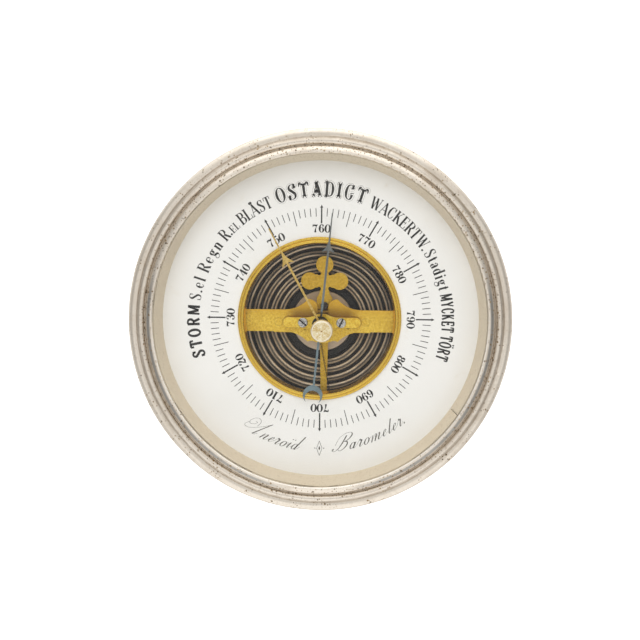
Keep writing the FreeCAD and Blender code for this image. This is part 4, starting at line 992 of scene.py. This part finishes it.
# ---------------------------------------------------------------------------
# Chain, light, camera
# ---------------------------------------------------------------------------
def chain_links():
    """The fine chain as links turned alternately flat and on edge."""
    low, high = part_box("chain")
    y = (low.y + high.y) / 2
    far = Vector((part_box("chain_arm")[0].x - 0.35 * MM, y, low.z + 0.25 * MM))
    hub = Vector((ARBOR_AXIS.x, y, ARBOR_AXIS.z))
    wrap = CHAIN_WRAP_R * MM
    reach = far - hub
    leave = math.atan2(reach.z, reach.x) - math.acos(wrap / reach.length)
    start = hub + Vector((wrap * math.cos(leave), 0, wrap * math.sin(leave)))
    path = [start.lerp(far, i / 60) for i in range(61)]
    path = [hub + Vector((wrap * math.cos(leave - a), 0, wrap * math.sin(leave - a)))
            for a in (3.0, 2.4, 1.8, 1.2, 0.6)] + path
    mesh = bmesh.new()
    for i in range(len(path) - 1):
        a, b = path[i], path[i + 1]
        along = (b - a).normalized()
        side = Vector((0, 1, 0)) if i % 2 else along.cross(Vector((0, 1, 0)))
        flat = along.cross(side)
        centre, long_half = (a + b) / 2, (b - a).length * 0.62
        rings = []
        for k in range(12):
            t = 2 * math.pi * k / 12
            mid = centre + along * long_half * math.cos(t) + side * LINK_HALF * MM * math.sin(t)
            out = (along * math.cos(t) + side * math.sin(t)).normalized()
            rings.append([mesh.verts.new(mid + (out * math.cos(u) + flat * math.sin(u)) * LINK_WIRE_R * MM)
                          for u in (math.pi * j / 3 for j in range(6))])
        for k in range(12):
            one, two = rings[k], rings[(k + 1) % 12]
            for j in range(6):
                mesh.faces.new((one[j], one[(j + 1) % 6], two[(j + 1) % 6], two[j]))
    bmesh.ops.recalc_face_normals(mesh, faces=mesh.faces)
    piece = add_mesh("chain_links", mesh, materials["chain"])
    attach(piece, "case")
    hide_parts("chain")


def soft_lamp():
    """A round soft box that lights the object but isn't mirrored in its polished metal."""
    data = bpy.data.lights.new("key", "AREA")
    data.shape = "DISK"
    data.size = LAMP_SIZE
    data.energy = LAMP_POWER
    lamp = bpy.data.objects.new("key", data)
    lamp.visible_glossy = False
    lamp.location = DIAL_CENTRE + LAMP_OFFSET
    lamp.rotation_euler = (DIAL_CENTRE - lamp.location).to_track_quat("-Z", "Y").to_euler()
    bpy.context.scene.collection.objects.link(lamp)


def soft_tent():
    """A room: a pale table, a bright ceiling, dim walls in front and at the sides, and white behind."""
    world = bpy.data.worlds.new("tent")
    bpy.context.scene.world = world
    s = Nodes(world)
    parts = s.new("ShaderNodeSeparateXYZ")
    s.put(parts.inputs[0], s.new("ShaderNodeTexCoord").outputs["Generated"])
    across, along, up = parts.outputs
    table = s.fade(up, -0.60, -0.10, 1.22, 0.95)
    sides = s.fade(s.absolute(across), 0.40, 0.85, 1.0, 0.50)
    behind_camera = s.fade(along, -1.0, -0.95, 0.72, 1.0)
    front = s.times(s.times(table, sides), behind_camera)
    walls = s.larger(front, s.fade(along, -0.15, 0.25, 0.0, 0.95))
    strength = s.plus(walls, s.fade(up, 0.45, 0.95, 0.0, 0.75))
    s.fill(s.tree.nodes["Background"], Color=(1, 1, 1, 1), Strength=strength)


def backdrop_paper():
    s = Shader("backdrop_paper", Roughness=0.95, Emission_Color=(1, 1, 1, 1), Emission_Strength=0.35)
    vector, _, _, _ = s.split()
    return s.set(Base_Color=s.mix(s.noise(vector, 0.004), (0.93, 0.93, 0.925), (0.95, 0.95, 0.945)))


def backdrop():
    """A pale floor well below the object that curves up into a wall all round."""
    floor_z = BEZEL_LOW.z - FLOOR_DROP
    arc, count = 16, 96
    outline = [(FLOOR_R * i / 4, floor_z) for i in range(1, 5)]
    outline += [(FLOOR_R + BEND_R * math.sin(t), floor_z + BEND_R * (1 - math.cos(t)))
                for t in (math.pi / 2 * i / arc for i in range(1, arc + 1))]
    outline.append((FLOOR_R + BEND_R, floor_z + WALL_TOP))
    mesh = bmesh.new()
    rings = []
    for radius, z in outline:
        rings.append([mesh.verts.new((x, y, z)) for x, y in circle(radius, count)])
    mesh.faces.new(rings[0])
    for low, high in zip(rings, rings[1:]):
        for i in range(count):
            j = (i + 1) % count
            mesh.faces.new((low[i], low[j], high[j], high[i])).smooth = True
    sweep = add_mesh("backdrop", mesh, backdrop_paper())
    sweep.visible_diffuse = sweep.visible_glossy = sweep.visible_shadow = False


def camera():
    """Slightly above and to the right of the dial's axis."""
    azimuth, elevation = math.radians(CAMERA_AZIMUTH), math.radians(CAMERA_ELEVATION)
    back = Vector((math.sin(azimuth) * math.cos(elevation), -math.cos(azimuth) * math.cos(elevation),
                   math.sin(elevation)))
    data = bpy.data.cameras.new("camera")
    data.lens = LENS
    data.sensor_width = SENSOR_WIDTH
    view = bpy.data.objects.new("camera", data)
    view.location = DIAL_CENTRE + CAMERA_AIM + back * CAMERA_DISTANCE
    view.rotation_mode = "QUATERNION"
    roll = Quaternion((0, 0, 1), math.radians(CAMERA_ROLL))
    view.rotation_quaternion = (-back).to_track_quat("-Z", "Y") @ roll
    bpy.context.scene.collection.objects.link(view)
    bpy.context.scene.camera = view


dress_nodes()
print_scale()
print_numerals()
print_outlines()
print_weather()
print_script()
print_ornament()
chain_links()
soft_tent()
backdrop()
soft_lamp()
camera()
bpy.context.scene.view_settings.view_transform = "Standard"
